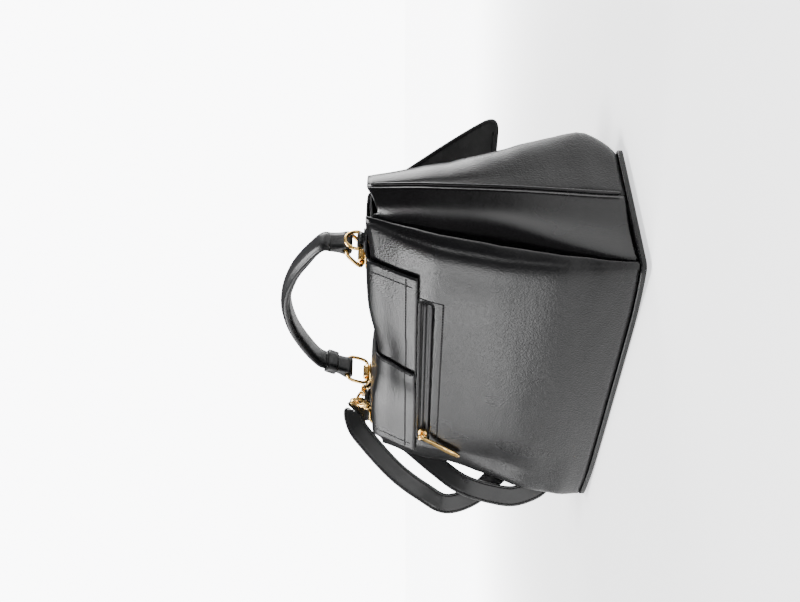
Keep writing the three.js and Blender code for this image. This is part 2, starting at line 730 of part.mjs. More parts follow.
function cornerPoints(halfWidth, low, high, corner) {
  const inset = 0.3 * corner;
  return [
    [-halfWidth + corner, low],
    [halfWidth - corner, low],
    [halfWidth - inset, low + inset],
    [halfWidth, low + corner],
    [halfWidth, high - corner],
    [halfWidth - inset, high - inset],
    [halfWidth - corner, high],
    [-halfWidth + corner, high],
    [-halfWidth + inset, high - inset],
    [-halfWidth, high - corner],
    [-halfWidth, low + corner],
    [-halfWidth + inset, low + inset],
  ];
}

const bracketBore = ringWire + 2 * clearance;
const bracketPlate = 1.6;
const bracketSkin = 1.8;
const bracketLength = 13;
const handleEnds = {};

for (const [end, side, lean] of [["near", -1, nearRingLean], ["far", 1, farRingLean]]) {
  const place = new THREE.Group();
  place.position.set(side * bracketPlace, handleY, flapTop + clearance);
  bag.add(place);
  const bracket = saddle(bracketBore, bracketSkin, bracketLength, 8, bracketPlate);
  addPiece("handle_bracket_" + end, bracket, gold, place);
  const ring = new THREE.Group();
  ring.position.z = bracketPlate + bracketBore;
  ring.rotation.y = -lean;
  place.add(ring);
  const outline = cornerPoints(0.5 * ringWidth, 0, ringHeight, 4);
  addPiece("handle_ring_" + end, wireRing(outline, ringWire, 28), gold, ring);
  const barX = side * bracketPlace - ringHeight * Math.sin(lean);
  const barZ = flapTop + clearance + bracketPlate + bracketBore + ringHeight * Math.cos(lean);
  handleEnds[end] = new THREE.Vector3(barX, handleY, barZ);
}

// Folded leather tab round a handle ring's upper bar, with its legs sewn together above it.
const tabLength = { near: 15, far: 25 };
const tabLean = { near: -0.1, far: -0.53 };
const tabBore = ringWire + 2 * clearance;
function handleTab(length) {
  const radius = tabBore + tabThickness;
  const shape = new THREE.Shape();
  shape.moveTo(tabThickness, 1.9 * radius);
  shape.lineTo(tabThickness, length);
  shape.lineTo(-tabThickness, length);
  shape.lineTo(-tabThickness, 1.9 * radius);
  shape.absarc(0, 0, radius, Math.PI * 0.84, Math.PI * 2.16, false);
  const bore = new THREE.Path();
  bore.absarc(0, 0, tabBore, 0, 2 * Math.PI, true);
  shape.holes.push(bore);
  const solid = new THREE.ExtrudeGeometry(shape, { depth: tabWidth, bevelEnabled: false, curveSegments: 10 });
  solid.rotateX(Math.PI / 2);
  solid.translate(0, 0.5 * tabWidth, 0);
  return solid;
}

for (const end of ["near", "far"]) {
  const place = new THREE.Group();
  place.position.copy(handleEnds[end]);
  place.rotation.y = tabLean[end];
  bag.add(place);
  addPiece("handle_tab_" + end, handleTab(tabLength[end]), leather, place);
  if (end === "far") {
    const outline = (x, y) => [[-x, -y], [x, -y], [x, y], [-x, y]].map(([a, b]) => new THREE.Vector2(a, b));
    const keeperWall = 1.6;
    const [innerX, innerY] = [tabThickness + clearance, 0.5 * tabWidth + clearance];
    const shape = new THREE.Shape(outline(innerX + keeperWall, innerY + keeperWall));
    shape.holes.push(new THREE.Path(outline(innerX, innerY)));
    const keeper = new THREE.ExtrudeGeometry(shape, { depth: 11, bevelEnabled: false });
    keeper.translate(0, 0, tabLength.far - 13);
    addPiece("handle_keeper", keeper, leather, place);
  }
}

// The handle's padded leather, as shares: along of the brackets' places, rise of the way up to its top.
const handleLine = [
  { along: -1.13, rise: 0.36 },
  { along: -0.97, rise: 0.64 },
  { along: -0.72, rise: 0.85 },
  { along: -0.36, rise: 1.0 },
  { along: 0.06, rise: 0.96 },
  { along: 0.44, rise: 0.78 },
  { along: 0.66, rise: 0.5 },
];

function handle() {
  const up = (end) => new THREE.Vector3(Math.sin(tabLean[end]), 0, Math.cos(tabLean[end]));
  const tip = (end, beyond) => handleEnds[end].clone().addScaledVector(up(end), tabLength[end] + beyond);
  const base = handleEnds.near.z;
  const middle = handleLine.map(({ along, rise }) => {
    return new THREE.Vector3(along * bracketPlace, handleY, base + rise * (handleRise - base));
  });
  const points = [tip("near", clearance), tip("near", 4), ...middle.slice(1, 6), tip("far", 4), tip("far", clearance)];
  const path = new THREE.CatmullRomCurve3(points, false, "centripetal");
  const loops = steps(0, 1, 1 / 22).map((share) => {
    const centre = path.getPointAt(share);
    const tangent = path.getTangentAt(share);
    const out = new THREE.Vector3(-tangent.z, 0, tangent.x);
    const taper = 0.62 + 0.38 * Math.min(1, 6 * Math.min(share, 1 - share));
    const halfThick = 0.5 * handleThickness * taper;
    const halfWide = 0.5 * handleWidth * (0.86 + 0.14 * taper);
    return steps(0, 11, 1).map((j) => {
      const angle = (2 * Math.PI * j) / 12;
      const [c, s] = [Math.cos(angle), Math.sin(angle)];
      const across = halfWide * Math.sign(c) * Math.abs(c) ** 0.7;
      return centre.clone().addScaledVector(out, halfThick * s).add(new THREE.Vector3(0, across, 0));
    });
  });
  return loftFrom(loops);
}
addPiece("handle", handle(), leather);

// Strap rings in their leather loops on the flap, outside the handle brackets.
const dRingBore = dRingWire + 2 * clearance;
const dTabPlate = 1.6;
for (const [end, side, lean] of [["near", -1, 0.1], ["far", 1, farDRingLean]]) {
  const place = new THREE.Group();
  place.position.set(side * dRingPlace, dRingY, flapTop + clearance);
  bag.add(place);
  addPiece("d_ring_tab_" + end, saddle(dRingBore, 1.6, 13, 8, dTabPlate), leather, place);
  const ring = new THREE.Group();
  ring.position.z = dTabPlate + dRingBore;
  ring.rotation.y = -lean;
  place.add(ring);
  const half = 0.5 * dRingWidth;
  const arch = steps(0.08, 0.92, 0.14).map((turn) => {
    return [half * Math.cos(Math.PI * turn), 0.25 * dRingHeight + 0.75 * dRingHeight * Math.sin(Math.PI * turn)];
  });
  const bar = [-0.8, -0.4, 0.4, 0.8].map((share) => [share * half, 0]);
  const outline = [...bar, [half - 0.3, 1.2], ...arch, [-half + 0.3, 1.2]];
  addPiece("d_ring_" + end, wireRing(outline, dRingWire, 24), gold, ring);
}

// The swivel clasp on the far strap ring. In its own frame X runs from the ring's top to the strap.
const farRingTop = new THREE.Vector3(
  dRingPlace + dRingHeight * Math.sin(-farDRingLean),
  dRingY,
  flapTop + clearance + dTabPlate + dRingBore + dRingHeight * Math.cos(farDRingLean),
);
const claspTurn = -0.3; // the clasp's turn about the vertical, in radians
const claspDrop = 0.41; // its slope down towards the strap
const clasp = new THREE.Group();
clasp.position.copy(farRingTop);
clasp.rotation.set(0, claspDrop, claspTurn, "ZYX");
bag.add(clasp);

const hookHalf = 7.6;
const hookWall = 2.6;
const hookReach = 17; // from the ring's wire to the hook's far end
const gateGap = 0.35;
const hookFront = -dRingWire - 2 * clearance - hookWall;
const gateHinge = hookReach - hookWall - 2.4;
const gateTip = 1; // where the gate closes against the hook
const knuckleRadius = 1.5;

// A flat loop in the XZ plane with a window, as thick as the clasp.
function hookShape() {
  const outer = new THREE.Shape();
  const inner = new THREE.Path();
  const rounded = (path, x0, x1, half, corner) => {
    path.moveTo(x0 + corner, -half);
    path.lineTo(x1 - corner, -half);
    path.absarc(x1 - corner, -half + corner, corner, -Math.PI / 2, 0, false);
    path.absarc(x1 - corner, half - corner, corner, 0, Math.PI / 2, false);
    path.absarc(x0 + corner, half - corner, corner, Math.PI / 2, Math.PI, false);
    path.absarc(x0 + corner, -half + corner, corner, Math.PI, 1.5 * Math.PI, false);
  };
  rounded(outer, hookFront, hookReach, hookHalf, 6);
  rounded(inner, hookFront + hookWall, hookReach - hookWall, hookHalf - hookWall, 3.6);
  outer.holes.push(inner);
  return outer;
}

function claspHook() {
  const solid = new THREE.ExtrudeGeometry(hookShape(), { depth: claspThickness, bevelEnabled: false, curveSegments: 5 });
  solid.rotateX(Math.PI / 2);
  solid.translate(0, 0.5 * claspThickness, 0);
  const windowEnd = gateHinge + knuckleRadius + gateGap;
  const window = new THREE.BoxGeometry(windowEnd - gateTip, 2 * claspThickness, hookWall + 1.4);
  window.translate(0.5 * (windowEnd + gateTip), 0, hookHalf - 0.5 * hookWall + 0.3);
  const stub = new THREE.CylinderGeometry(2.6, 2.6, 4, 12);
  stub.rotateZ(Math.PI / 2);
  stub.translate(hookReach + 1.4, 0, 0);
  return joined(cut(solid, window), stub);
}
addPiece("clasp_hook", claspHook(), gold, clasp);

// The gate lever closes the hook's upper side and opens into its window.
const gate = new THREE.Group();
gate.position.set(gateHinge, 0, hookHalf - 0.5 * hookWall);
clasp.add(gate);

function claspGate() {
  const reach = gateHinge - gateTip - gateGap;
  const bar = block(reach + 1.4, claspThickness - 0.6, hookWall - 0.6, 0.5);
  bar.translate(-0.5 * (reach - 1.4), -0.5 * (claspThickness - 0.6), 0);
  const knuckle = new THREE.CylinderGeometry(knuckleRadius, knuckleRadius, claspThickness - 0.6, 12);
  const thumb = new THREE.BoxGeometry(2.4, claspThickness - 0.6, 2.6);
  thumb.translate(-0.62 * reach, 0, 1.6);
  return joined(bar, knuckle, thumb);
}
addPiece("clasp_gate", claspGate(), gold, gate);

// The strap's loop with its collar, which turns on the hook's stub.
const collarRadius = 3.3;
const loopStart = hookReach + 3.4 + clearance;
const loopNear = claspLength - 8.6;
const loopHalf = 0.5 * strapWidth + 2.6;
const loopWire = 1.3;

function claspLoop() {
  const length = loopNear - loopStart + 0.6;
  const collar = new THREE.CylinderGeometry(collarRadius, collarRadius, length, 14);
  collar.rotateZ(Math.PI / 2);
  collar.translate(loopStart + 0.5 * length, 0, 0);
  const outline = cornerPoints(loopHalf, loopNear, claspLength, 2.6);
  const wire = wireRing(outline, loopWire, 28);
  wire.rotateY(Math.PI / 2);
  return joined(collar, wire);
}
addPiece("clasp_loop", claspLoop(), gold, clasp);

// The second clasp, on the far strap ring's forward side: one plain link plate.
const linkReach = 34;
const link = new THREE.Group();
link.position.set(
  dRingPlace + 0.45 * dRingHeight * Math.sin(-farDRingLean),
  dRingY - 0.5 * dRingWidth,
  flapTop + clearance + dTabPlate + dRingBore + 0.45 * dRingHeight * Math.cos(farDRingLean),
);
link.rotation.set(0, 0.2, -0.85, "ZYX");
bag.add(link);

function secondClasp() {
  const shape = new THREE.Shape();
  const [eye, neck] = [6, 3.4];
  shape.absarc(0, 0, eye, 0.6, 2 * Math.PI - 0.6, false);
  shape.lineTo(linkReach - 9, -neck);
  shape.lineTo(linkReach - 9, -0.5 * strapWidth);
  shape.lineTo(linkReach, -0.5 * strapWidth);
  shape.lineTo(linkReach, 0.5 * strapWidth);
  shape.lineTo(linkReach - 9, 0.5 * strapWidth);
  shape.lineTo(linkReach - 9, neck);
  const bore = new THREE.Path();
  bore.absarc(0, 0, 3, 0, 2 * Math.PI, true);
  shape.holes.push(bore);
  const plate = new THREE.ExtrudeGeometry(shape, { depth: 2, bevelEnabled: false, curveSegments: 12 });
  plate.translate(0, 0, -1);
  return plate;
}
addPiece("second_clasp", secondClasp(), gold, link);

// Flat leather bands. Each row gives a place on the middle line as shares of the bag's half length,
// back depth and height, then how the band's width lies: its bearing and its fall, in degrees.
const returnRun = [
  { x: 1.148, y: -0.35, z: 0.217, bearing: 229, fall: -35 },
  { x: 1.162, y: -0.16, z: 0.256, bearing: 229, fall: -35 },
  { x: 1.148, y: 0.19, z: 0.24, bearing: 229, fall: -40 },
  { x: 1.13, y: 0.56, z: 0.185, bearing: 229.7, fall: -24 },
  { x: 1.127, y: 0.82, z: 0.32, bearing: 229.7, fall: -5 },
  { x: 1.103, y: 0.81, z: 0.445, bearing: 229.7, fall: 14 },
  { x: 1.06, y: 0.7, z: 0.583, bearing: 229.7, fall: 26 },
  { x: 1.03, y: 0.44, z: 0.695, bearing: 229.7, fall: 37 },
  { x: 1.0, y: 0.13, z: 0.806, bearing: 230, fall: 40 },
  { x: 0.968, y: -0.12, z: 0.899, bearing: 236, fall: 34 },
  { x: 0.936, y: -0.27, z: 0.955, bearing: 248, fall: 14 },
  { x: 0.888, y: -0.378, z: 0.984, bearing: 252.8, fall: 0 },
  { x: 0.8976, y: -0.392, z: 1.0106, bearing: 252.8, fall: 0 },
  { x: 0.914, y: -0.405, z: 1.042, bearing: 252, fall: 6 },
  { x: 0.915, y: -0.42, z: 1.1, bearing: 240, fall: 36 },
];
const mainRun = [
  { x: 0.955, y: -0.2, z: 1.088, bearing: 229.7, fall: 43 },
  { x: 1.02, y: 0.027, z: 1.024, bearing: 229.7, fall: 42 },
  { x: 1.15, y: 0.37, z: 0.889, bearing: 229.7, fall: 46 },
  { x: 1.242, y: 0.58, z: 0.762, bearing: 229.7, fall: 36 },
  { x: 1.285, y: 0.73, z: 0.654, bearing: 229.7, fall: 3 },
  { x: 1.285, y: 0.61, z: 0.53, bearing: 229.7, fall: -27 },
  { x: 1.24, y: 0.32, z: 0.41, bearing: 229.7, fall: -38 },
  { x: 1.2, y: 0.0, z: 0.3, bearing: 229, fall: -38 },
  { x: 1.175, y: -0.33, z: 0.235, bearing: 229, fall: -35 },
  { x: 1.13, y: -0.78, z: 0.2, bearing: 232, fall: -12 },
  { x: 1.09, y: -1.05, z: 0.3, bearing: 236, fall: 20 },
  { x: 1.06, y: -1.12, z: 0.48, bearing: 238, fall: 12 },
  { x: 1.02, y: -1.06, z: 0.7, bearing: 236, fall: 12 },
  { x: 0.955, y: -1.0, z: 0.9, bearing: 229, fall: 12 },
  { x: 0.925, y: -1.03, z: 0.975, bearing: 224, fall: 6 },
  { x: 0.8605, y: -0.908, z: 1.0065, bearing: 221.3, fall: 0 },
  { x: 0.8222, y: -0.7975, z: 1.016, bearing: 221.3, fall: 0 },
];

function bandPoint({ x, y, z }) {
  return new THREE.Vector3(x * halfLength, y * backDepth, z * bagHeight);
}

function bandWidth({ bearing, fall }) {
  const [a, f] = [THREE.MathUtils.degToRad(bearing), THREE.MathUtils.degToRad(fall)];
  return new THREE.Vector3(Math.cos(a) * Math.cos(f), Math.sin(a) * Math.cos(f), -Math.sin(f));
}

function band(rows, width, thickness, count) {
  const path = new THREE.CatmullRomCurve3(rows.map(bandPoint), false, "centripetal");
  const across = new THREE.CatmullRomCurve3(rows.map(bandWidth), false, "centripetal");
  const loops = steps(0, 1, 1 / count).map((share) => {
    const middle = path.getPoint(share);
    const tangent = path.getTangent(share);
    const wide = across.getPoint(share);
    wide.addScaledVector(tangent, -wide.dot(tangent)).normalize();
    const face = new THREE.Vector3().crossVectors(tangent, wide);
    const corners = [[-0.5, -0.5], [0.5, -0.5], [0.5, 0.5], [-0.5, 0.5]];
    return corners.map(([a, b]) => {
      return middle.clone().addScaledVector(wide, a * width).addScaledVector(face, b * thickness);
    });
  });
  return loftFrom(loops);
}

const strapRows = [...returnRun, ...mainRun];
addPiece("shoulder_strap", band(strapRows, strapWidth, strapThickness, 78), glossLeather);

// The slider on the main run, round the end of the return.
const sliderRow = mainRun.find(({ z }) => z < 0.24);
const sliderDepth = 5;
const sliderWall = 1.6;
function strapSlider() {
  const along = bandPoint(sliderRow).sub(bandPoint(mainRun[mainRun.indexOf(sliderRow) - 1])).normalize();
  const wide = bandWidth(sliderRow);
  wide.addScaledVector(along, -wide.dot(along)).normalize();
  const face = new THREE.Vector3().crossVectors(along, wide);
  const centre = bandPoint(sliderRow).addScaledVector(face, 0.75 * strapThickness);
  const stack = 2.5 * strapThickness + 6 * clearance;
  const outer = new THREE.BoxGeometry(strapWidth + 2 * (sliderWall + clearance + 1), stack + 2 * sliderWall, sliderDepth);
  const inner = new THREE.BoxGeometry(strapWidth + 2 * (clearance + 1), stack, 2 * sliderDepth);
  const frame = cut(outer, inner);
  const basis = new THREE.Matrix4().makeBasis(wide, face, along);
  frame.applyMatrix4(basis.setPosition(centre));
  return frame;
}
addPiece("strap_slider", strapSlider(), gold);

export default bag;
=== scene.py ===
import math

import bmesh
import bpy
import numpy as np
from mathutils import Matrix, Vector
from mathutils.bvhtree import BVHTree


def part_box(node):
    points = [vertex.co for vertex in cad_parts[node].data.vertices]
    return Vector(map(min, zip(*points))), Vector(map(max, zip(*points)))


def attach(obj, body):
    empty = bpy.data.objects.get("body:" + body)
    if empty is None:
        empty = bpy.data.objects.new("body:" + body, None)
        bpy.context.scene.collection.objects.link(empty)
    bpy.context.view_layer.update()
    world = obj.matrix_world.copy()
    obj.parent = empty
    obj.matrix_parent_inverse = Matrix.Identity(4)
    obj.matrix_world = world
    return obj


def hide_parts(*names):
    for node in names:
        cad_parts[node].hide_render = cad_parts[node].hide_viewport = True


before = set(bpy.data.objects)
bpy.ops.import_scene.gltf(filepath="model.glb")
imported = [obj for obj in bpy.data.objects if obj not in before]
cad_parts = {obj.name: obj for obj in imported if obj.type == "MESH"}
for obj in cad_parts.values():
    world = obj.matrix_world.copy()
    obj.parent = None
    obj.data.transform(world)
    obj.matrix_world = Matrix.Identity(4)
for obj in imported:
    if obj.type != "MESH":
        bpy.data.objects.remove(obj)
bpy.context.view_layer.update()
mm = 0.001


# The camera stands level with the bag and is rolled a quarter turn, as the photograph is
cameraSettings = {"place": (-0.6929, 0.5435, 0.1811), "forward": (0.7627, -0.6468), "lens": 44.8}


def addCamera(settings):
    x, y = settings["forward"]
    data = bpy.data.cameras.new("camera")
    data.lens = settings["lens"]
    data.sensor_width = 36
    camera = bpy.data.objects.new("camera", data)
    right, up, back = Vector((0, 0, -1)), Vector((y, -x, 0)), Vector((-x, -y, 0))
    turn = Matrix((right, up, back)).transposed().to_4x4()
    camera.matrix_world = Matrix.Translation(settings["place"]) @ turn
    bpy.context.collection.objects.link(camera)
    bpy.context.scene.camera = camera


addCamera(cameraSettings)


# Material helpers

def addNode(tree, kind, settings=None, **values):
    node = tree.nodes.new(kind)
    for key, value in (settings or {}).items():
        setattr(node, key, value)
    for key, value in values.items():
        node.inputs[key.replace("_", " ")].default_value = value
    return node


# Leather surface: pebbles are the smooth distance from scattered points, creases are stretched
# noise, and the height is their weighted sum with a little fine noise. Wear is slow soft noise.
fineShare = 0.08


def grainGroup():
    tree = bpy.data.node_groups.new("leather grain", "ShaderNodeTree")
    for name, value in {"Pebble Scale": 900.0, "Pebble Depth": 0.4, "Crease Depth": 0.5}.items():
        socket = tree.interface.new_socket(name, in_out="INPUT", socket_type="NodeSocketFloat")
        socket.default_value = value
    for name in ("Height", "Wear"):
        tree.interface.new_socket(name, in_out="OUTPUT", socket_type="NodeSocketFloat")
    given = tree.nodes.new("NodeGroupInput")
    result = tree.nodes.new("NodeGroupOutput")
    place = addNode(tree, "ShaderNodeTexCoord")
    pebble = addNode(tree, "ShaderNodeTexVoronoi", {"feature": "SMOOTH_F1"}, Smoothness=0.6)
    fine = addNode(tree, "ShaderNodeTexNoise", Scale=2600.0, Detail=2.0)
    stretch = addNode(tree, "ShaderNodeMapping", Scale=(14.0, 14.0, 75.0))
    crease = addNode(tree, "ShaderNodeTexNoise", Scale=1.0, Detail=3.0, Distortion=0.5)
    slow = addNode(tree, "ShaderNodeTexNoise", Scale=16.0, Detail=2.0)
    pebbleHeight = addNode(tree, "ShaderNodeMath", {"operation": "MULTIPLY"})
    creaseHeight = addNode(tree, "ShaderNodeMath", {"operation": "MULTIPLY"})
    fineHeight = addNode(tree, "ShaderNodeMath", {"operation": "MULTIPLY_ADD"})
    fineHeight.inputs[1].default_value = fineShare
    total = addNode(tree, "ShaderNodeMath", {"operation": "ADD"})
    link = tree.links.new
    link(place.outputs["Object"], pebble.inputs["Vector"])
    link(given.outputs["Pebble Scale"], pebble.inputs["Scale"])
    link(place.outputs["Object"], fine.inputs["Vector"])
    link(place.outputs["Object"], stretch.inputs["Vector"])
    link(stretch.outputs["Vector"], crease.inputs["Vector"])
    link(place.outputs["Object"], slow.inputs["Vector"])
    link(pebble.outputs["Distance"], pebbleHeight.inputs[0])
    link(given.outputs["Pebble Depth"], pebbleHeight.inputs[1])
    link(crease.outputs["Fac"], creaseHeight.inputs[0])
    link(given.outputs["Crease Depth"], creaseHeight.inputs[1])
    link(fine.outputs["Fac"], fineHeight.inputs[0])
    link(pebbleHeight.outputs[0], fineHeight.inputs[2])
    link(fineHeight.outputs[0], total.inputs[0])
    link(creaseHeight.outputs[0], total.inputs[1])
    link(total.outputs[0], result.inputs["Height"])
    link(slow.outputs["Fac"], result.inputs["Wear"])
    return tree


grain = grainGroup()


def leatherMaterial(name, settings):
    material = bpy.data.materials.new(name)
    material.use_nodes = True
    tree = material.node_tree
    shader = tree.nodes["Principled BSDF"]
    surface = addNode(tree, "ShaderNodeGroup", {"node_tree": grain})
    surface.inputs["Pebble Scale"].default_value = settings["pebbleScale"]
    surface.inputs["Pebble Depth"].default_value = settings["pebbleDepth"]
    surface.inputs["Crease Depth"].default_value = settings["creaseDepth"]
    tone = addNode(tree, "ShaderNodeMix", {"data_type": "RGBA"})
    tone.inputs["A"].default_value = (*settings["dark"], 1)
    tone.inputs["B"].default_value = (*settings["light"], 1)
    rough = addNode(tree, "ShaderNodeMapRange", To_Min=settings["smooth"], To_Max=settings["rough"])
    bump = addNode(tree, "ShaderNodeBump", Strength=settings["bump"], Distance=0.0012)
    link = tree.links.new
    link(surface.outputs["Wear"], tone.inputs["Factor"])
    link(surface.outputs["Wear"], rough.inputs["Value"])
    link(surface.outputs["Height"], bump.inputs["Height"])
    link(tone.outputs["Result"], shader.inputs["Base Color"])
    link(rough.outputs["Result"], shader.inputs["Roughness"])
    link(bump.outputs["Normal"], shader.inputs["Normal"])
    shader.inputs["Specular IOR Level"].default_value = settings["specular"]
    shader.inputs["Coat Weight"].default_value = settings["coat"]
    shader.inputs["Coat Roughness"].default_value = settings["coatRoughness"]
    return material


softBlack = {
    "pebbleScale": 760.0, "pebbleDepth": 0.5, "creaseDepth": 0.8, "bump": 0.27,
    "dark": (0.0015, 0.0015, 0.0018), "light": (0.003, 0.003, 0.0034),
    "smooth": 0.22, "rough": 0.36, "specular": 0.24, "coat": 0.05, "coatRoughness": 0.25,
}
leather = leatherMaterial("black leather", softBlack)
glossLeather = leatherMaterial("glossy black leather", {
    **softBlack, "pebbleDepth": 0.22, "creaseDepth": 0.35, "bump": 0.2,
    "smooth": 0.2, "rough": 0.32, "specular": 0.3, "coat": 0.12, "coatRoughness": 0.15,
})
strapLeather = leatherMaterial("smooth black leather", {
    **softBlack, "pebbleDepth": 0.2, "creaseDepth": 0.06, "bump": 0.16,
    "smooth": 0.24, "rough": 0.34, "specular": 0.5, "coat": 0.25, "coatRoughness": 0.15,
})
handleLeather = leatherMaterial("handle leather", {
    **softBlack, "pebbleDepth": 0.3, "creaseDepth": 0.05, "bump": 0.22,
    "smooth": 0.34, "rough": 0.44, "specular": 0.32, "coat": 0.06,
})
thread = leatherMaterial("black thread", {
    **softBlack, "pebbleScale": 3500.0, "creaseDepth": 0.0, "dark": (0.009, 0.009, 0.01),
    "light": (0.02, 0.02, 0.022), "smooth": 0.3, "rough": 0.45, "coat": 0.0,
})
# Painted shade: a near-black matte for the strips that stand for the shade in the stitch grooves
seamShadeBlack = leatherMaterial("painted seam shade", {
    **softBlack, "pebbleDepth": 0.1, "creaseDepth": 0.0, "dark": (0.0005, 0.0005, 0.0006),
    "light": (0.001, 0.001, 0.001), "smooth": 0.6, "rough": 0.75, "specular": 0.1, "coat": 0.0,
})


# Zip cloth: a fine weave, the product of two crossed wave bands
def clothMaterial():
    material = bpy.data.materials.new("zip cloth")
    material.use_nodes = True
    tree = material.node_tree
    shader = tree.nodes["Principled BSDF"]
    place = addNode(tree, "ShaderNodeTexCoord")
    warp = addNode(tree, "ShaderNodeTexWave", {"bands_direction": "X"}, Scale=420.0)
    weft = addNode(tree, "ShaderNodeTexWave", {"bands_direction": "Z"}, Scale=420.0)
    weave = addNode(tree, "ShaderNodeMath", {"operation": "MULTIPLY"})
    tone = addNode(tree, "ShaderNodeMapRange", To_Min=0.45, To_Max=0.65)
    bump = addNode(tree, "ShaderNodeBump", Strength=0.3, Distance=0.0004)
    link = tree.links.new
    link(place.outputs["Object"], warp.inputs["Vector"])
    link(place.outputs["Object"], weft.inputs["Vector"])
    link(warp.outputs["Fac"], weave.inputs[0])
    link(weft.outputs["Fac"], weave.inputs[1])
    link(weave.outputs[0], tone.inputs["Value"])
    link(weave.outputs[0], bump.inputs["Height"])
    link(tone.outputs["Result"], shader.inputs["Roughness"])
    link(bump.outputs["Normal"], shader.inputs["Normal"])
    shader.inputs["Base Color"].default_value = (0.008, 0.008, 0.009, 1)
    return material


# Gold plate: fine noise shifts the tone, the roughness and a very low bump
def goldMaterial():
    material = bpy.data.materials.new("pale gold plate")
    material.use_nodes = True
    tree = material.node_tree
    shader = tree.nodes["Principled BSDF"]
    place = addNode(tree, "ShaderNodeTexCoord")
    brushing = addNode(tree, "ShaderNodeTexNoise", Scale=260.0, Detail=4.0)
    rough = addNode(tree, "ShaderNodeMapRange", To_Min=0.14, To_Max=0.3)
    tone = addNode(tree, "ShaderNodeMix", {"data_type": "RGBA"})
    tone.inputs["A"].default_value = (0.85, 0.5, 0.14, 1)
    tone.inputs["B"].default_value = (0.95, 0.66, 0.26, 1)
    bump = addNode(tree, "ShaderNodeBump", Strength=0.05, Distance=0.0003)
    link = tree.links.new
    link(place.outputs["Object"], brushing.inputs["Vector"])
    link(brushing.outputs["Fac"], rough.inputs["Value"])
    link(brushing.outputs["Fac"], tone.inputs["Factor"])
    link(brushing.outputs["Fac"], bump.inputs["Height"])
    link(rough.outputs["Result"], shader.inputs["Roughness"])
    link(tone.outputs["Result"], shader.inputs["Base Color"])
    link(bump.outputs["Normal"], shader.inputs["Normal"])
    shader.inputs["Metallic"].default_value = 1.0
    return material


cloth = clothMaterial()
gold = goldMaterial()


# Mesh helpers: points and faces come from numpy, and every piece lands at the origin

def addMesh(name, points, faces, material):
    mesh = bpy.data.meshes.new(name)
    mesh.from_pydata(points.tolist(), [], faces)
    mesh.materials.append(material)
    mesh.shade_smooth()
    piece = bpy.data.objects.new(name, mesh)
    bpy.context.collection.objects.link(piece)
    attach(piece, "root")
    return piece


def readPoints(mesh):
    flat = np.empty(len(mesh.vertices) * 3)
    mesh.vertices.foreach_get("co", flat)
    return flat.reshape(-1, 3)


def writePoints(mesh, points):
    mesh.vertices.foreach_set("co", points.ravel())
    mesh.update()


# Rows of equal rings joined into one closed skin, with a cap over each end
def ringSkin(rings):
    rows, count = rings.shape[:2]
    index = np.arange(rows * count).reshape(rows, count)
    thisRow, nextRow = index[:-1], index[1:]
    quads = np.stack([
        thisRow, np.roll(thisRow, -1, axis=1), np.roll(nextRow, -1, axis=1), nextRow,
    ], axis=-1).reshape(-1, 4)
    faces = quads.tolist() + [index[0][::-1].tolist(), index[-1].tolist()]
    return rings.reshape(-1, 3), faces


def faceOutwards(piece):
    skin = bmesh.new()
    skin.from_mesh(piece.data)
    bmesh.ops.recalc_face_normals(skin, faces=skin.faces)
    if skin.calc_volume(signed=True) < 0:
        bmesh.ops.reverse_faces(skin, faces=skin.faces)
    skin.to_mesh(piece.data)
    skin.free()


# A soft or rounded piece on the form of its solid: the loose triangles are merged and paired,
# sharp edges hold their line by the crease given, and subdivision rounds the rest
roundSettings = {"merge": 2e-5, "thin": 1e-5, "pairFace": 40, "pairShape": 100, "sharp": 48}


def roundedFrom(node, settings):
    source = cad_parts[node].data
    skin = bmesh.new()
    skin.from_mesh(source)
    bmesh.ops.remove_doubles(skin, verts=skin.verts, dist=roundSettings["merge"])
    bmesh.ops.dissolve_degenerate(skin, edges=skin.edges, dist=roundSettings["thin"])
    bmesh.ops.join_triangles(
        skin, faces=skin.faces, angle_face_threshold=math.radians(roundSettings["pairFace"]),
        angle_shape_threshold=math.radians(roundSettings["pairShape"]),
    )
    creases = skin.edges.layers.float.new("crease_edge")
    sharp = math.radians(settings.get("sharp", roundSettings["sharp"]))
    for edge in skin.edges:
        if len(edge.link_faces) == 2 and edge.calc_face_angle(0) > sharp:
            edge[creases] = settings["crease"]
    mesh = bpy.data.meshes.new(node + "_skin")
    skin.to_mesh(mesh)
    skin.free()
    mesh.materials.clear()
    mesh.materials.append(settings["material"])
    mesh.shade_smooth()
    piece = bpy.data.objects.new(node + "_skin", mesh)
    bpy.context.collection.objects.link(piece)
    rounding = piece.modifiers.new("rounding", "SUBSURF")
    rounding.levels = rounding.render_levels = settings["levels"]
    bpy.context.view_layer.update()
    piece.data = bpy.data.meshes.new_from_object(
        piece.evaluated_get(bpy.context.evaluated_depsgraph_get()),
    )
    piece.modifiers.clear()
    if "swell" in settings:
        normals = np.empty(len(piece.data.vertices) * 3)
        piece.data.vertices.foreach_get("normal", normals)
        writePoints(piece.data, readPoints(piece.data) + settings["swell"] * normals.reshape(-1, 3))
    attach(piece, settings.get("body", "root"))
    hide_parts(node)
    return piece


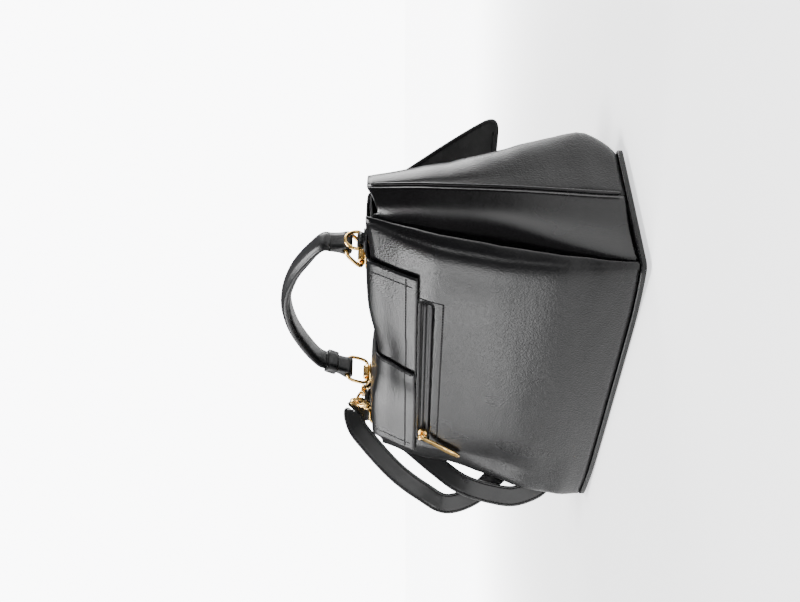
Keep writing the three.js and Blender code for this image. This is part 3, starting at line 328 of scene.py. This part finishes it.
softWall = {"material": leather, "slot": "leather", "levels": 2, "crease": 0.75}
glossWall = {**softWall, "material": glossLeather}
handleWall = {**softWall, "material": handleLeather}
metal = {"material": gold, "slot": "metal", "levels": 2, "crease": 0.8, "sharp": 40}
wire = {**metal, "crease": 0.0, "swell": 0.28 * mm}
roundedPieces = {
    "back_panel": {**softWall, "levels": 1},
    "gusset_near": glossWall,
    "gusset_far": glossWall,
    "front_panel": {**softWall, "levels": 1},
    "piping_near": {**glossWall, "crease": 0.0},
    "piping_far": {**glossWall, "crease": 0.0},
    "base_panel": softWall,
    "base_welt": softWall,
    "flap_near_half": softWall,
    "flap_far_half": softWall,
    "handle_tab_near": handleWall,
    "handle_tab_far": handleWall,
    "handle_keeper": handleWall,
    "d_ring_tab_near": softWall,
    "d_ring_tab_far": softWall,
    "zip_tape": {**metal, "material": cloth, "slot": "cloth", "crease": 0.9},
    "flap_snap": metal,
    "zip_slider": metal,
    "zip_pull": {**metal, "body": "pull"},
    "handle_bracket_near": metal,
    "handle_bracket_far": metal,
    "handle_ring_near": wire,
    "handle_ring_far": wire,
    "d_ring_near": wire,
    "d_ring_far": wire,
    "clasp_hook": metal,
    "clasp_gate": {**metal, "body": "gate"},
    "clasp_loop": metal,
    "second_clasp": metal,
    "strap_slider": metal,
}
skins = {node: roundedFrom(node, settings) for node, settings in roundedPieces.items()}
print("rounded pieces", sum(len(piece.data.polygons) for piece in skins.values()))


# A centripetal curve through points, as in the solid: knots are spaced by the root of each chord
def curveThrough(points, shares):
    points = np.asarray(points, dtype=float)
    first = 2 * points[0] - points[1]
    last = 2 * points[-1] - points[-2]
    padded = np.vstack([first, points, last])
    place = np.asarray(shares) * (len(points) - 1)
    span = np.minimum(place.astype(int), len(points) - 2)
    t = (place - span)[:, None]
    p0, p1, p2, p3 = (padded[span + k] for k in range(4))
    d0, d1, d2 = (
        np.maximum(np.linalg.norm(b - a, axis=1), 1e-6)[:, None] ** 0.5
        for a, b in ((p0, p1), (p1, p2), (p2, p3))
    )
    m1 = ((p1 - p0) / d0 - (p2 - p0) / (d0 + d1) + (p2 - p1) / d1) * d1
    m2 = ((p2 - p1) / d1 - (p3 - p1) / (d1 + d2) + (p3 - p2) / d2) * d1
    return (
        p1 + m1 * t
        + (-3 * p1 + 3 * p2 - 2 * m1 - m2) * t ** 2
        + (2 * p1 - 2 * p2 + m1 + m2) * t ** 3
    )


def unit(vectors):
    return vectors / np.maximum(np.linalg.norm(vectors, axis=-1, keepdims=True), 1e-12)


def evenly(points, count):
    steps = np.r_[0, np.cumsum(np.linalg.norm(np.diff(points, axis=0), axis=1))]
    at = np.linspace(0, steps[-1], count)
    return np.stack([np.interp(at, steps, points[:, k]) for k in range(3)], axis=1)


# Stitches: one short spindle of thread, repeated along a path. Its radius swells from each end
# as the square root of a parabola, and its ends dip into the leather.
stitchShape = {"sides": 6, "rings": 5, "taper": 0.85, "lift": 0.35, "dip": 0.9, "aim": 0.4}


def stitchRow(points, normals, pitch, length, radius):
    points, normals = np.asarray(points, dtype=float), np.asarray(normals, dtype=float)
    steps = np.r_[0, np.cumsum(np.linalg.norm(np.diff(points, axis=0), axis=1))]
    count = max(int(steps[-1] / pitch), 1)
    at = (np.arange(count) + 0.5) * steps[-1] / count

    def follow(values, places):
        return np.stack([np.interp(places, steps, values[:, k]) for k in range(3)], axis=1)

    middle = follow(points, at)
    ahead = stitchShape["aim"] * pitch
    along = unit(follow(points, at + ahead) - follow(points, at - ahead))
    up = follow(normals, at)
    up = unit(up - along * np.sum(up * along, axis=1, keepdims=True))
    side = np.cross(along, up)
    share = np.linspace(-1, 1, stitchShape["rings"])
    turn = np.linspace(0, 2 * np.pi, stitchShape["sides"], endpoint=False)
    swell = radius * np.sqrt(np.maximum(1 - stitchShape["taper"] * share ** 2, 0))
    lift = stitchShape["lift"] * radius - stitchShape["dip"] * radius * share ** 2
    return (
        middle[:, None, None] + along[:, None, None] * (0.5 * length * share)[None, :, None, None]
        + side[:, None, None] * (swell[:, None] * np.cos(turn))[None, :, :, None]
        + up[:, None, None] * (swell[:, None] * np.sin(turn) + lift[:, None])[None, :, :, None]
    )


# The seam that the stitches lie in: a low welt of four sides, partly sunk into the leather, in a
# near-black matte that is painted shade of the stitch groove
seamShadeSettings = {"halfWide": 0.8 * mm, "high": 0.14 * mm, "flatShare": 0.7}


def seamShadeStrip(name, points, normals):
    along = unit(np.gradient(points, axis=0))
    up = unit(normals - along * np.sum(normals * along, axis=1, keepdims=True))
    side = np.cross(along, up)
    flat = seamShadeSettings["flatShare"]
    section = np.array([[-1, -1.0], [-flat, 1], [flat, 1], [1, -1.0]])
    rings = (
        points[:, None] + side[:, None] * (seamShadeSettings["halfWide"] * section[:, :1])[None]
        + up[:, None] * (seamShadeSettings["high"] * section[:, 1:])[None]
    )
    skin, faces = ringSkin(rings)
    faceOutwards(addMesh(name, skin, faces, seamShadeBlack))


def addStitches(name, rows):
    spindles = np.concatenate(rows)
    oneSize = stitchShape["rings"] * stitchShape["sides"]
    _, oneFaces = ringSkin(spindles[0])
    faces = [[v + k * oneSize for v in face] for k in range(len(spindles)) for face in oneFaces]
    faceOutwards(addMesh(name, spindles.reshape(-1, 3), faces, thread))


# A path laid on a piece: points are cast along a direction and the first surface met is kept
def castOn(piece, starts, direction):
    tree = BVHTree.FromPolygons(
        [v.co for v in piece.data.vertices], [p.vertices for p in piece.data.polygons],
    )
    hits, normals = [], []
    for start in starts:
        place, normal, _, _ = tree.ray_cast(Vector(start), Vector(direction))
        if place is not None:
            hits.append(tuple(place))
            normals.append(tuple(normal))
    return np.array(hits), np.array(normals)


# The shoulder strap: the route, width direction and tilt of each row repeat the solid's, as shares
# of half the length, the back's depth and the height of the bag
halfLength, backDepth, bagHeight = 165 * mm, 63 * mm, 207 * mm
strapSettings = {
    "width": 20 * mm, "thickness": 3 * mm, "steps": 420, "ease": 5, "easeReach": 12,
    "stitchIn": 2.4 * mm, "seamAt": 0.42, "pitch": 3.2 * mm, "length": 2.3 * mm, "radius": 0.38 * mm,
}
strapRows = [
    (1.148, -0.35, 0.217, 229, -35), (1.162, -0.16, 0.256, 229, -35), (1.148, 0.19, 0.24, 229, -40),
    (1.13, 0.56, 0.185, 229.7, -24), (1.127, 0.82, 0.32, 229.7, -5), (1.103, 0.81, 0.445, 229.7, 14),
    (1.06, 0.7, 0.583, 229.7, 26), (1.03, 0.44, 0.695, 229.7, 37), (1.0, 0.13, 0.806, 230, 40),
    (0.968, -0.12, 0.899, 236, 34), (0.936, -0.27, 0.955, 248, 14), (0.888, -0.378, 0.984, 252.8, 0),
    (0.8976, -0.392, 1.0106, 252.8, 0), (0.914, -0.405, 1.042, 252, 6), (0.915, -0.42, 1.1, 240, 36),
    (0.955, -0.2, 1.088, 229.7, 43), (1.02, 0.027, 1.024, 229.7, 42), (1.15, 0.37, 0.889, 229.7, 46),
    (1.242, 0.58, 0.762, 229.7, 36), (1.285, 0.73, 0.654, 229.7, 3), (1.285, 0.61, 0.53, 229.7, -27),
    (1.24, 0.32, 0.41, 229.7, -38), (1.2, 0.0, 0.3, 229, -38), (1.175, -0.33, 0.235, 229, -35),
    (1.13, -0.78, 0.2, 232, -12), (1.09, -1.05, 0.3, 236, 20), (1.06, -1.12, 0.48, 238, 12),
    (1.02, -1.06, 0.7, 236, 12), (0.955, -1.0, 0.9, 229, 12), (0.925, -1.03, 0.975, 224, 6),
    (0.8605, -0.908, 1.0065, 221.3, 0), (0.8222, -0.7975, 1.016, 221.3, 0),
]


# Across the strap the section is a flat band with rounded edges and a low ridge inside each edge
def strapSection(width, thickness):
    half, deep = 0.5 * width, 0.5 * thickness
    across = np.array([0, 0.4, 0.66, 0.78, 0.86, 0.94, 1.0, 1.0])
    height = np.array([0.86, 0.9, 0.96, 0.84, 0.98, 0.92, 0.6, 0.0])
    top = np.stack([across * half, height * deep], axis=1)
    right = np.vstack([top, top[-2::-1] * [1, -1]])
    left = right[::-1][1:-1] * [-1, 1]
    return np.vstack([right, left])


# A bell-shaped average along the route eases the quick turns over the clasp
def eased(vectors, settings):
    reach = settings["easeReach"]
    bell = np.exp(-(np.arange(-reach, reach + 1) / settings["ease"]) ** 2)
    bell = bell / bell.sum()
    padded = np.pad(vectors, ((reach, reach), (0, 0)), "edge")
    return np.stack([np.convolve(column, bell, "valid") for column in padded.T], axis=1)


def makeStrap(settings):
    rows = np.array(strapRows)
    shares = np.linspace(0, 1, settings["steps"])
    middle = curveThrough(rows[:, :3] * [halfLength, backDepth, bagHeight], shares)
    bearing, fall = np.radians(rows[:, 3]), np.radians(rows[:, 4])
    across = np.stack([
        np.cos(bearing) * np.cos(fall), np.sin(bearing) * np.cos(fall), -np.sin(fall),
    ], axis=1)
    wide = eased(unit(curveThrough(across, shares)), settings)
    tangent = unit(eased(np.gradient(middle, axis=0), settings))
    wide = unit(wide - tangent * np.sum(wide * tangent, axis=1, keepdims=True))
    face = np.cross(tangent, wide)
    section = strapSection(settings["width"], settings["thickness"])
    rings = (
        middle[:, None] + wide[:, None] * section[None, :, :1] + face[:, None] * section[None, :, 1:]
    )
    points, faces = ringSkin(rings)
    piece = addMesh("strap_leather", points, faces, strapLeather)
    faceOutwards(piece)
    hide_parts("shoulder_strap")
    threadRows = []
    for side in (-1, 1):
        for out in (-1, 1):
            reach = side * (0.5 * settings["width"] - settings["stitchIn"])
            line = middle + wide * reach + face * (out * settings["seamAt"] * settings["thickness"])
            threadRows.append(stitchRow(
                line, face * out, settings["pitch"], settings["length"], settings["radius"],
            ))
            # The dark strip along each row is painted shade of its stitch groove
            seamShadeStrip(f"strap_seam_{side}_{out}".replace("-1", "under"), line, face * out)
    addStitches("strap_stitches", threadRows)


makeStrap(strapSettings)
print("strap done")


# The handle: leather sewn round a padded cord, flatter at its sewn ends. Each ring is an oval
# whose width is drawn out by a power of the cosine, with a bell-shaped groove along each edge seam
handleSettings = {
    "width": 22 * mm, "thickness": 9 * mm, "rise": 281 * mm, "y": -24 * mm, "steps": 190, "sides": 32,
    "near": (-97.667 * mm, 224.932 * mm, -0.1, 15 * mm),
    "far": (74.212 * mm, 230.921 * mm, -0.53, 25 * mm),
    "spread": 82 * mm, "middle": [(-0.97, 0.64), (-0.72, 0.85), (-0.36, 1.0), (0.06, 0.96), (0.44, 0.78)],
    "into": 2 * mm, "straight": 4 * mm, "samples": 6000,
    "thinEnd": 0.62, "thinning": 6, "narrowing": 0.14, "closeOver": 0.006, "closed": 0.05,
    "endWidth": 0.9, "power": 0.7, "groove": 0.3, "seamAt": 0.8, "grooveWidth": 0.09,
    "stitchHeight": 0.44, "bareEnd": 0.012, "pitch": 3.4 * mm, "length": 2.6 * mm, "radius": 0.36 * mm,
}


def makeHandle(settings):
    y, seamAt = settings["y"], settings["seamAt"]

    def tip(end, beyond):
        x, z, lean, length = settings[end]
        return [x + math.sin(lean) * (length + beyond), y, z + math.cos(lean) * (length + beyond)]

    low = settings["near"][1]
    middle = [
        [along * settings["spread"], y, low + rise * (settings["rise"] - low)]
        for along, rise in settings["middle"]
    ]
    into, straight = settings["into"], settings["straight"]
    points = [tip("near", -into), tip("near", straight), *middle, tip("far", straight), tip("far", -into)]
    route = curveThrough(points, np.linspace(0, 1, settings["samples"]))
    centre = evenly(route, settings["steps"])
    share = np.linspace(0, 1, settings["steps"])
    tangent = unit(np.gradient(centre, axis=0))
    out = np.stack([-tangent[:, 2], 0 * share, tangent[:, 0]], axis=1)
    fromEnd = np.minimum(share, 1 - share)
    thin, narrow, endWidth = settings["thinEnd"], settings["narrowing"], settings["endWidth"]
    taper = thin + (1 - thin) * np.minimum(1, settings["thinning"] * fromEnd)
    closing = np.sqrt(np.clip(fromEnd / settings["closeOver"], settings["closed"], 1))
    halfThick = 0.5 * settings["thickness"] * taper * closing
    halfWide = (
        0.5 * settings["width"] * (1 - narrow + narrow * taper) * (endWidth + (1 - endWidth) * closing)
    )
    angle = np.linspace(0, 2 * np.pi, settings["sides"], endpoint=False)
    across, up = np.cos(angle), np.sin(angle)
    wide = np.sign(across) * np.abs(across) ** settings["power"]
    fromSeam = (np.abs(wide) - seamAt) / settings["grooveWidth"]
    groove = 1 - settings["groove"] * np.exp(-fromSeam ** 2)
    rings = (
        centre[:, None] + out[:, None] * (halfThick[:, None] * up * groove)[..., None]
        + np.array([0, 1.0, 0]) * (halfWide[:, None] * wide)[..., None]
    )
    points, faces = ringSkin(rings)
    piece = addMesh("handle_leather", points, faces, handleLeather)
    faceOutwards(piece)
    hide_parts("handle")
    keep = (share > settings["bareEnd"]) & (share < 1 - settings["bareEnd"])
    rows = []
    for side in (-1, 1):
        for face in (-1, 1):
            aside = np.array([0, side * seamAt, 0]) * halfWide[:, None]
            line = centre + aside + out * (face * settings["stitchHeight"] * halfThick[:, None])
            rows.append(stitchRow(
                line[keep], (out * face)[keep], settings["pitch"], settings["length"], settings["radius"],
            ))
    addStitches("handle_stitches", rows)


makeHandle(handleSettings)


# Leather walls get soft low waves: the sum of a few slow sines of height and place along the bag,
# strongest near the rolls and nothing at the foot and the top, moved out to the front or back
waveSettings = {
    "lean": 0.35, "calm": 0.35, "calmTo": 0.35, "sideFade": 0.5,
    "foot": 0.12, "top": 0.97, "topFade": 0.1,
}


def softenWall(piece, depth):
    mesh = piece.data
    points = readPoints(mesh)
    x, z = points[:, 0] / halfLength, points[:, 2] / bagHeight
    y = points[:, 1] / backDepth
    front = np.sign(points[:, 1]) * np.ones_like(x)
    outward = np.stack([waveSettings["lean"] * x, front, 0 * x], axis=1)
    wave = (
        0.5 * np.sin(31 * z + 3.2 * np.sin(2.1 * x) + 1.2 * y)
        + 0.3 * np.sin(53 * z - 4.6 * x + 2 * np.sin(6 * x))
        + 0.25 * np.sin(9 * x + 6 * z)
    )
    side = np.clip((np.abs(x) - waveSettings["calmTo"]) / waveSettings["sideFade"], 0, 1)
    fromTop = np.clip((waveSettings["top"] - z) / waveSettings["topFade"], 0, 1)
    low = np.clip(z / waveSettings["foot"], 0, 1) * fromTop
    reach = depth * (waveSettings["calm"] + (1 - waveSettings["calm"]) * side) * low
    writePoints(mesh, points + unit(outward) * (wave * reach)[:, None])


# The rolled ends are fuller than the plain wall: a smooth swell of place along and height,
# nothing at the crease and at the base, moves them out to the end and the back
rollSettings = {
    "middle": 0.9, "spread": 0.12, "from": 22 * mm, "ramp": 12 * mm, "reach": 3 * mm,
    "backShare": 0.9, "foot": 0.1, "rise": 0.5, "top": 1.02, "topFade": 0.12,
}


def fillRoll(piece, settings):
    mesh = piece.data
    points = readPoints(mesh)
    x, z = points[:, 0] / halfLength, points[:, 2] / bagHeight
    away = np.stack([np.sign(x), settings["backShare"] + 0 * x, 0 * x], axis=1)
    along = np.exp(-((np.abs(x) - settings["middle"]) / settings["spread"]) ** 2)
    fromTop = np.clip((settings["top"] - z) / settings["topFade"], 0, 1)
    high = np.clip((z - settings["foot"]) / settings["rise"], 0, 1) * fromTop
    back = np.clip((points[:, 1] - settings["from"]) / settings["ramp"], 0, 1)
    swell = settings["reach"] * along * high * back
    writePoints(mesh, points + unit(away) * swell[:, None])


fillRoll(skins["back_panel"], rollSettings)
softenWall(skins["back_panel"], 0.9 * mm)
softenWall(skins["front_panel"], 0.8 * mm)
print("handle and walls done")


# Rows of stitches on the back: places are kept as shares of half the length and of the height,
# and rays start at a plane behind the bag
behind = 0.2
seam = {"pitch": 3.4 * mm, "length": 2.5 * mm, "radius": 0.42 * mm}


# A seam along a line of places: its strip of painted groove shade, and the row of stitches in it
def sewLine(name, points, normals):
    seamShadeStrip(name, points, normals)
    return stitchRow(points, normals, seam["pitch"], seam["length"], seam["radius"])


def alongBack(target, start, end, count=60):
    share = np.linspace(0, 1, count)[:, None]
    route = (1 - share) * np.array(start) + share * np.array(end)
    x, z = route[:, 0] * halfLength, route[:, 1] * bagHeight
    return castOn(skins[target], np.stack([x, np.full(count, behind), z], axis=1), (0, -1, 0))


def sewBack(name, target, lines):
    rows = []
    for start, end in lines:
        rows.append(sewLine(f"{name}_seam_{len(rows)}", *alongBack(target, start, end)))
    addStitches(name, rows)


corner = {"left": -0.6, "right": 0.632, "top": 0.83, "bottom": 0.711}
sewBack("zip_stitches", "back_panel", [
    ((corner["left"], corner["bottom"]), (corner["right"], corner["bottom"])),
    ((corner["left"], corner["top"]), (corner["right"], corner["top"])),
    ((corner["left"], corner["bottom"]), (corner["left"], corner["top"])),
    ((corner["right"], corner["bottom"]), (corner["right"], corner["top"])),
])


# The outline of a flap half on the back face is where rays from behind first meet it, going up.
# Stitches keep a fixed distance inside that outline
def flapEdge(target, x, lowest=0.7, highest=1.0, count=160):
    tree = BVHTree.FromPolygons(
        [v.co for v in skins[target].data.vertices], [p.vertices for p in skins[target].data.polygons],
    )
    for z in np.linspace(lowest, highest, count) * bagHeight:
        if tree.ray_cast(Vector((x, behind, z)), Vector((0, -1, 0)), behind)[0] is not None:
            return z
    return None


def hemRoute(target, xs, inset):
    edges = [(x, flapEdge(target, x)) for x in xs]
    return [(x / halfLength, (z + inset) / bagHeight) for x, z in edges if z is not None]


def sewRoute(target, name, route, count):
    line = evenly(np.array([[x * halfLength, behind, z * bagHeight] for x, z in route]), count)
    return sewLine(name, *castOn(skins[target], line, (0, -1, 0)))


hemSettings = {"inset": 9 * mm, "steps": 24, "hemCount": 120, "sideCount": 50, "low": 0.83, "high": 0.985}
flapSewing = {
    "flap_near_half": {"from": 8 * mm, "to": 14 * mm, "sides": [-112 * mm]},
    "flap_far_half": {"from": 2 * mm, "to": 8 * mm, "sides": [0.5 * mm, 112 * mm]},
}


def sewFlapHalf(target, settings):
    lo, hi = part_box(target)
    xs = np.linspace(lo[0] + settings["from"], hi[0] - settings["to"], hemSettings["steps"])
    hem = hemRoute(target, xs, hemSettings["inset"])
    rows = [sewRoute(target, target + "_hem_seam", hem, hemSettings["hemCount"])]
    for k, x in enumerate(settings["sides"]):
        route = [(x / halfLength, hemSettings["low"]), (x / halfLength, hemSettings["high"])]
        rows.append(sewRoute(target, f"{target}_side_seam_{k}", route, hemSettings["sideCount"]))
    addStitches(target + "_stitches", rows)


# The flap's front edge is sewn through: one row on its inner side and one on its face
frontSewing = {
    "inset": 5 * mm, "count": 80, "underFrom": -101 * mm,
    "flap_near_half": (16 * mm, 3 * mm), "flap_far_half": (3 * mm, 16 * mm),
}


def sewFlapFront(target, settings):
    lo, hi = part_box(target)
    count, (fromEnd, toEnd) = settings["count"], settings[target]
    share = np.linspace(0, 1, count)
    across = lo[0] + fromEnd + share * (hi[0] - lo[0] - fromEnd - toEnd)
    low = np.full(count, lo[2] + settings["inset"])
    for name, start, way in (("under", settings["underFrom"], -1), ("face", -behind, 1)):
        starts = np.stack([across, np.full(count, start), low], axis=1)
        points, normals = castOn(skins[target], starts, (0, way, 0))
        if len(points) > 2:
            row = sewLine(f"{target}_{name}_seam", points, normals)
            addStitches(f"{target}_{name}_stitches", [row])


for node in flapSewing:
    sewFlapFront(node, frontSewing)
for node, settings in flapSewing.items():
    sewFlapHalf(node, settings)
print("stitches done")


# Soft studio light, left and right as the camera sees them: a panel overhead, two at the left
# beyond the bag, a narrow one at the left behind the camera and a large one at the far right
def addPanel(name, settings):
    data = bpy.data.lights.new(name, "AREA")
    data.shape = "RECTANGLE"
    data.size, data.size_y = settings["size"]
    data.energy = settings["watts"]
    lamp = bpy.data.objects.new(name, data)
    aim = Vector(settings["aim"]) - Vector(settings["place"])
    turn = aim.to_track_quat("-Z", "Y").to_matrix().to_4x4()
    lamp.matrix_world = Matrix.Translation(settings["place"]) @ turn
    bpy.context.collection.objects.link(lamp)


lights = {
    "overhead": {"place": (-0.2, 0.1, 1.7), "aim": (0, 0, 0.1), "size": (0.9, 0.7), "watts": 62},
    "flap": {"place": (1.3, 0.75, 1.05), "aim": (0, 0, 0.2), "size": (0.5, 0.5), "watts": 15},
    "key": {"place": (1.3, 1.22, 0.5), "aim": (0.02, 0, 0.12), "size": (0.6, 0.6), "watts": 13},
    "roll": {"place": (-0.75, 1.5, 0.75), "aim": (-0.1, 0, 0.12), "size": (0.14, 0.9), "watts": 8},
    "behind": {"place": (-0.35, -1.6, 0.6), "aim": (0, 0, 0.1), "size": (1.0, 1.0), "watts": 40},
}
for name, settings in lights.items():
    addPanel(name, settings)


# The floor is a wide level square. It is lit near the bag and looks like the surround far off, so
# no horizon shows. Only its direct view glows, and the bag mirrors the plain lit floor
surroundColour = (0.95, 0.955, 0.97)
floorSettings = {
    "halfSide": 30.0, "colour": (0.9, 0.9, 0.9), "rough": 0.75, "specular": 0.2,
    "lit": 0.25, "far": 1.8, "nearGlow": 0.14, "glow": 9.0,
}


def floorMaterial(settings):
    material = bpy.data.materials.new("pale floor")
    material.use_nodes = True
    tree = material.node_tree
    shader = tree.nodes["Principled BSDF"]
    shader.inputs["Base Color"].default_value = (*settings["colour"], 1)
    shader.inputs["Roughness"].default_value = settings["rough"]
    shader.inputs["Specular IOR Level"].default_value = settings["specular"]
    place = addNode(tree, "ShaderNodeTexCoord")
    distance = addNode(tree, "ShaderNodeVectorMath", {"operation": "LENGTH"})
    fade = addNode(tree, "ShaderNodeMapRange", {"interpolation_type": "SMOOTHSTEP"})
    fade.inputs["From Min"].default_value = settings["lit"]
    fade.inputs["From Max"].default_value = settings["far"]
    fade.inputs["To Min"].default_value = settings["nearGlow"]
    glow = addNode(tree, "ShaderNodeEmission", Strength=settings["glow"])
    glow.inputs["Color"].default_value = (*surroundColour, 1)
    blend = tree.nodes.new("ShaderNodeMixShader")
    path = tree.nodes.new("ShaderNodeLightPath")
    seen = addNode(tree, "ShaderNodeMath", {"operation": "MULTIPLY"})
    link = tree.links.new
    link(place.outputs["Object"], distance.inputs[0])
    link(distance.outputs["Value"], fade.inputs["Value"])
    link(fade.outputs["Result"], seen.inputs[0])
    link(path.outputs["Is Camera Ray"], seen.inputs[1])
    link(seen.outputs[0], blend.inputs[0])
    link(shader.outputs[0], blend.inputs[1])
    link(glow.outputs[0], blend.inputs[2])
    link(blend.outputs[0], tree.nodes["Material Output"].inputs["Surface"])
    return material


def makeFloor(settings):
    far = settings["halfSide"]
    mesh = bpy.data.meshes.new("floor")
    mesh.from_pydata([(-far, -far, 0), (far, -far, 0), (far, far, 0), (-far, far, 0)], [], [(0, 1, 2, 3)])
    mesh.materials.append(floorMaterial(settings))
    floor = bpy.data.objects.new("floor", mesh)
    bpy.context.collection.objects.link(floor)


makeFloor(floorSettings)


# The surround is pale to the eye, and softer in what it gives to the bag
surroundSettings = {"seen": 10.0, "given": 0.22}


def makeSurround(settings):
    world = bpy.data.worlds.new("pale surround")
    world.use_nodes = True
    tree = world.node_tree
    output = tree.nodes["World Output"]
    seen = tree.nodes["Background"]
    given = tree.nodes.new("ShaderNodeBackground")
    path = tree.nodes.new("ShaderNodeLightPath")
    choice = tree.nodes.new("ShaderNodeMixShader")
    seen.inputs["Color"].default_value = (*surroundColour, 1)
    seen.inputs["Strength"].default_value = settings["seen"]
    given.inputs["Color"].default_value = (*surroundColour, 1)
    given.inputs["Strength"].default_value = settings["given"]
    tree.links.new(path.outputs["Is Camera Ray"], choice.inputs[0])
    tree.links.new(given.outputs[0], choice.inputs[1])
    tree.links.new(seen.outputs[0], choice.inputs[2])
    tree.links.new(choice.outputs[0], output.inputs["Surface"])
    bpy.context.scene.world = world


makeSurround(surroundSettings)
print("lights and floor done")
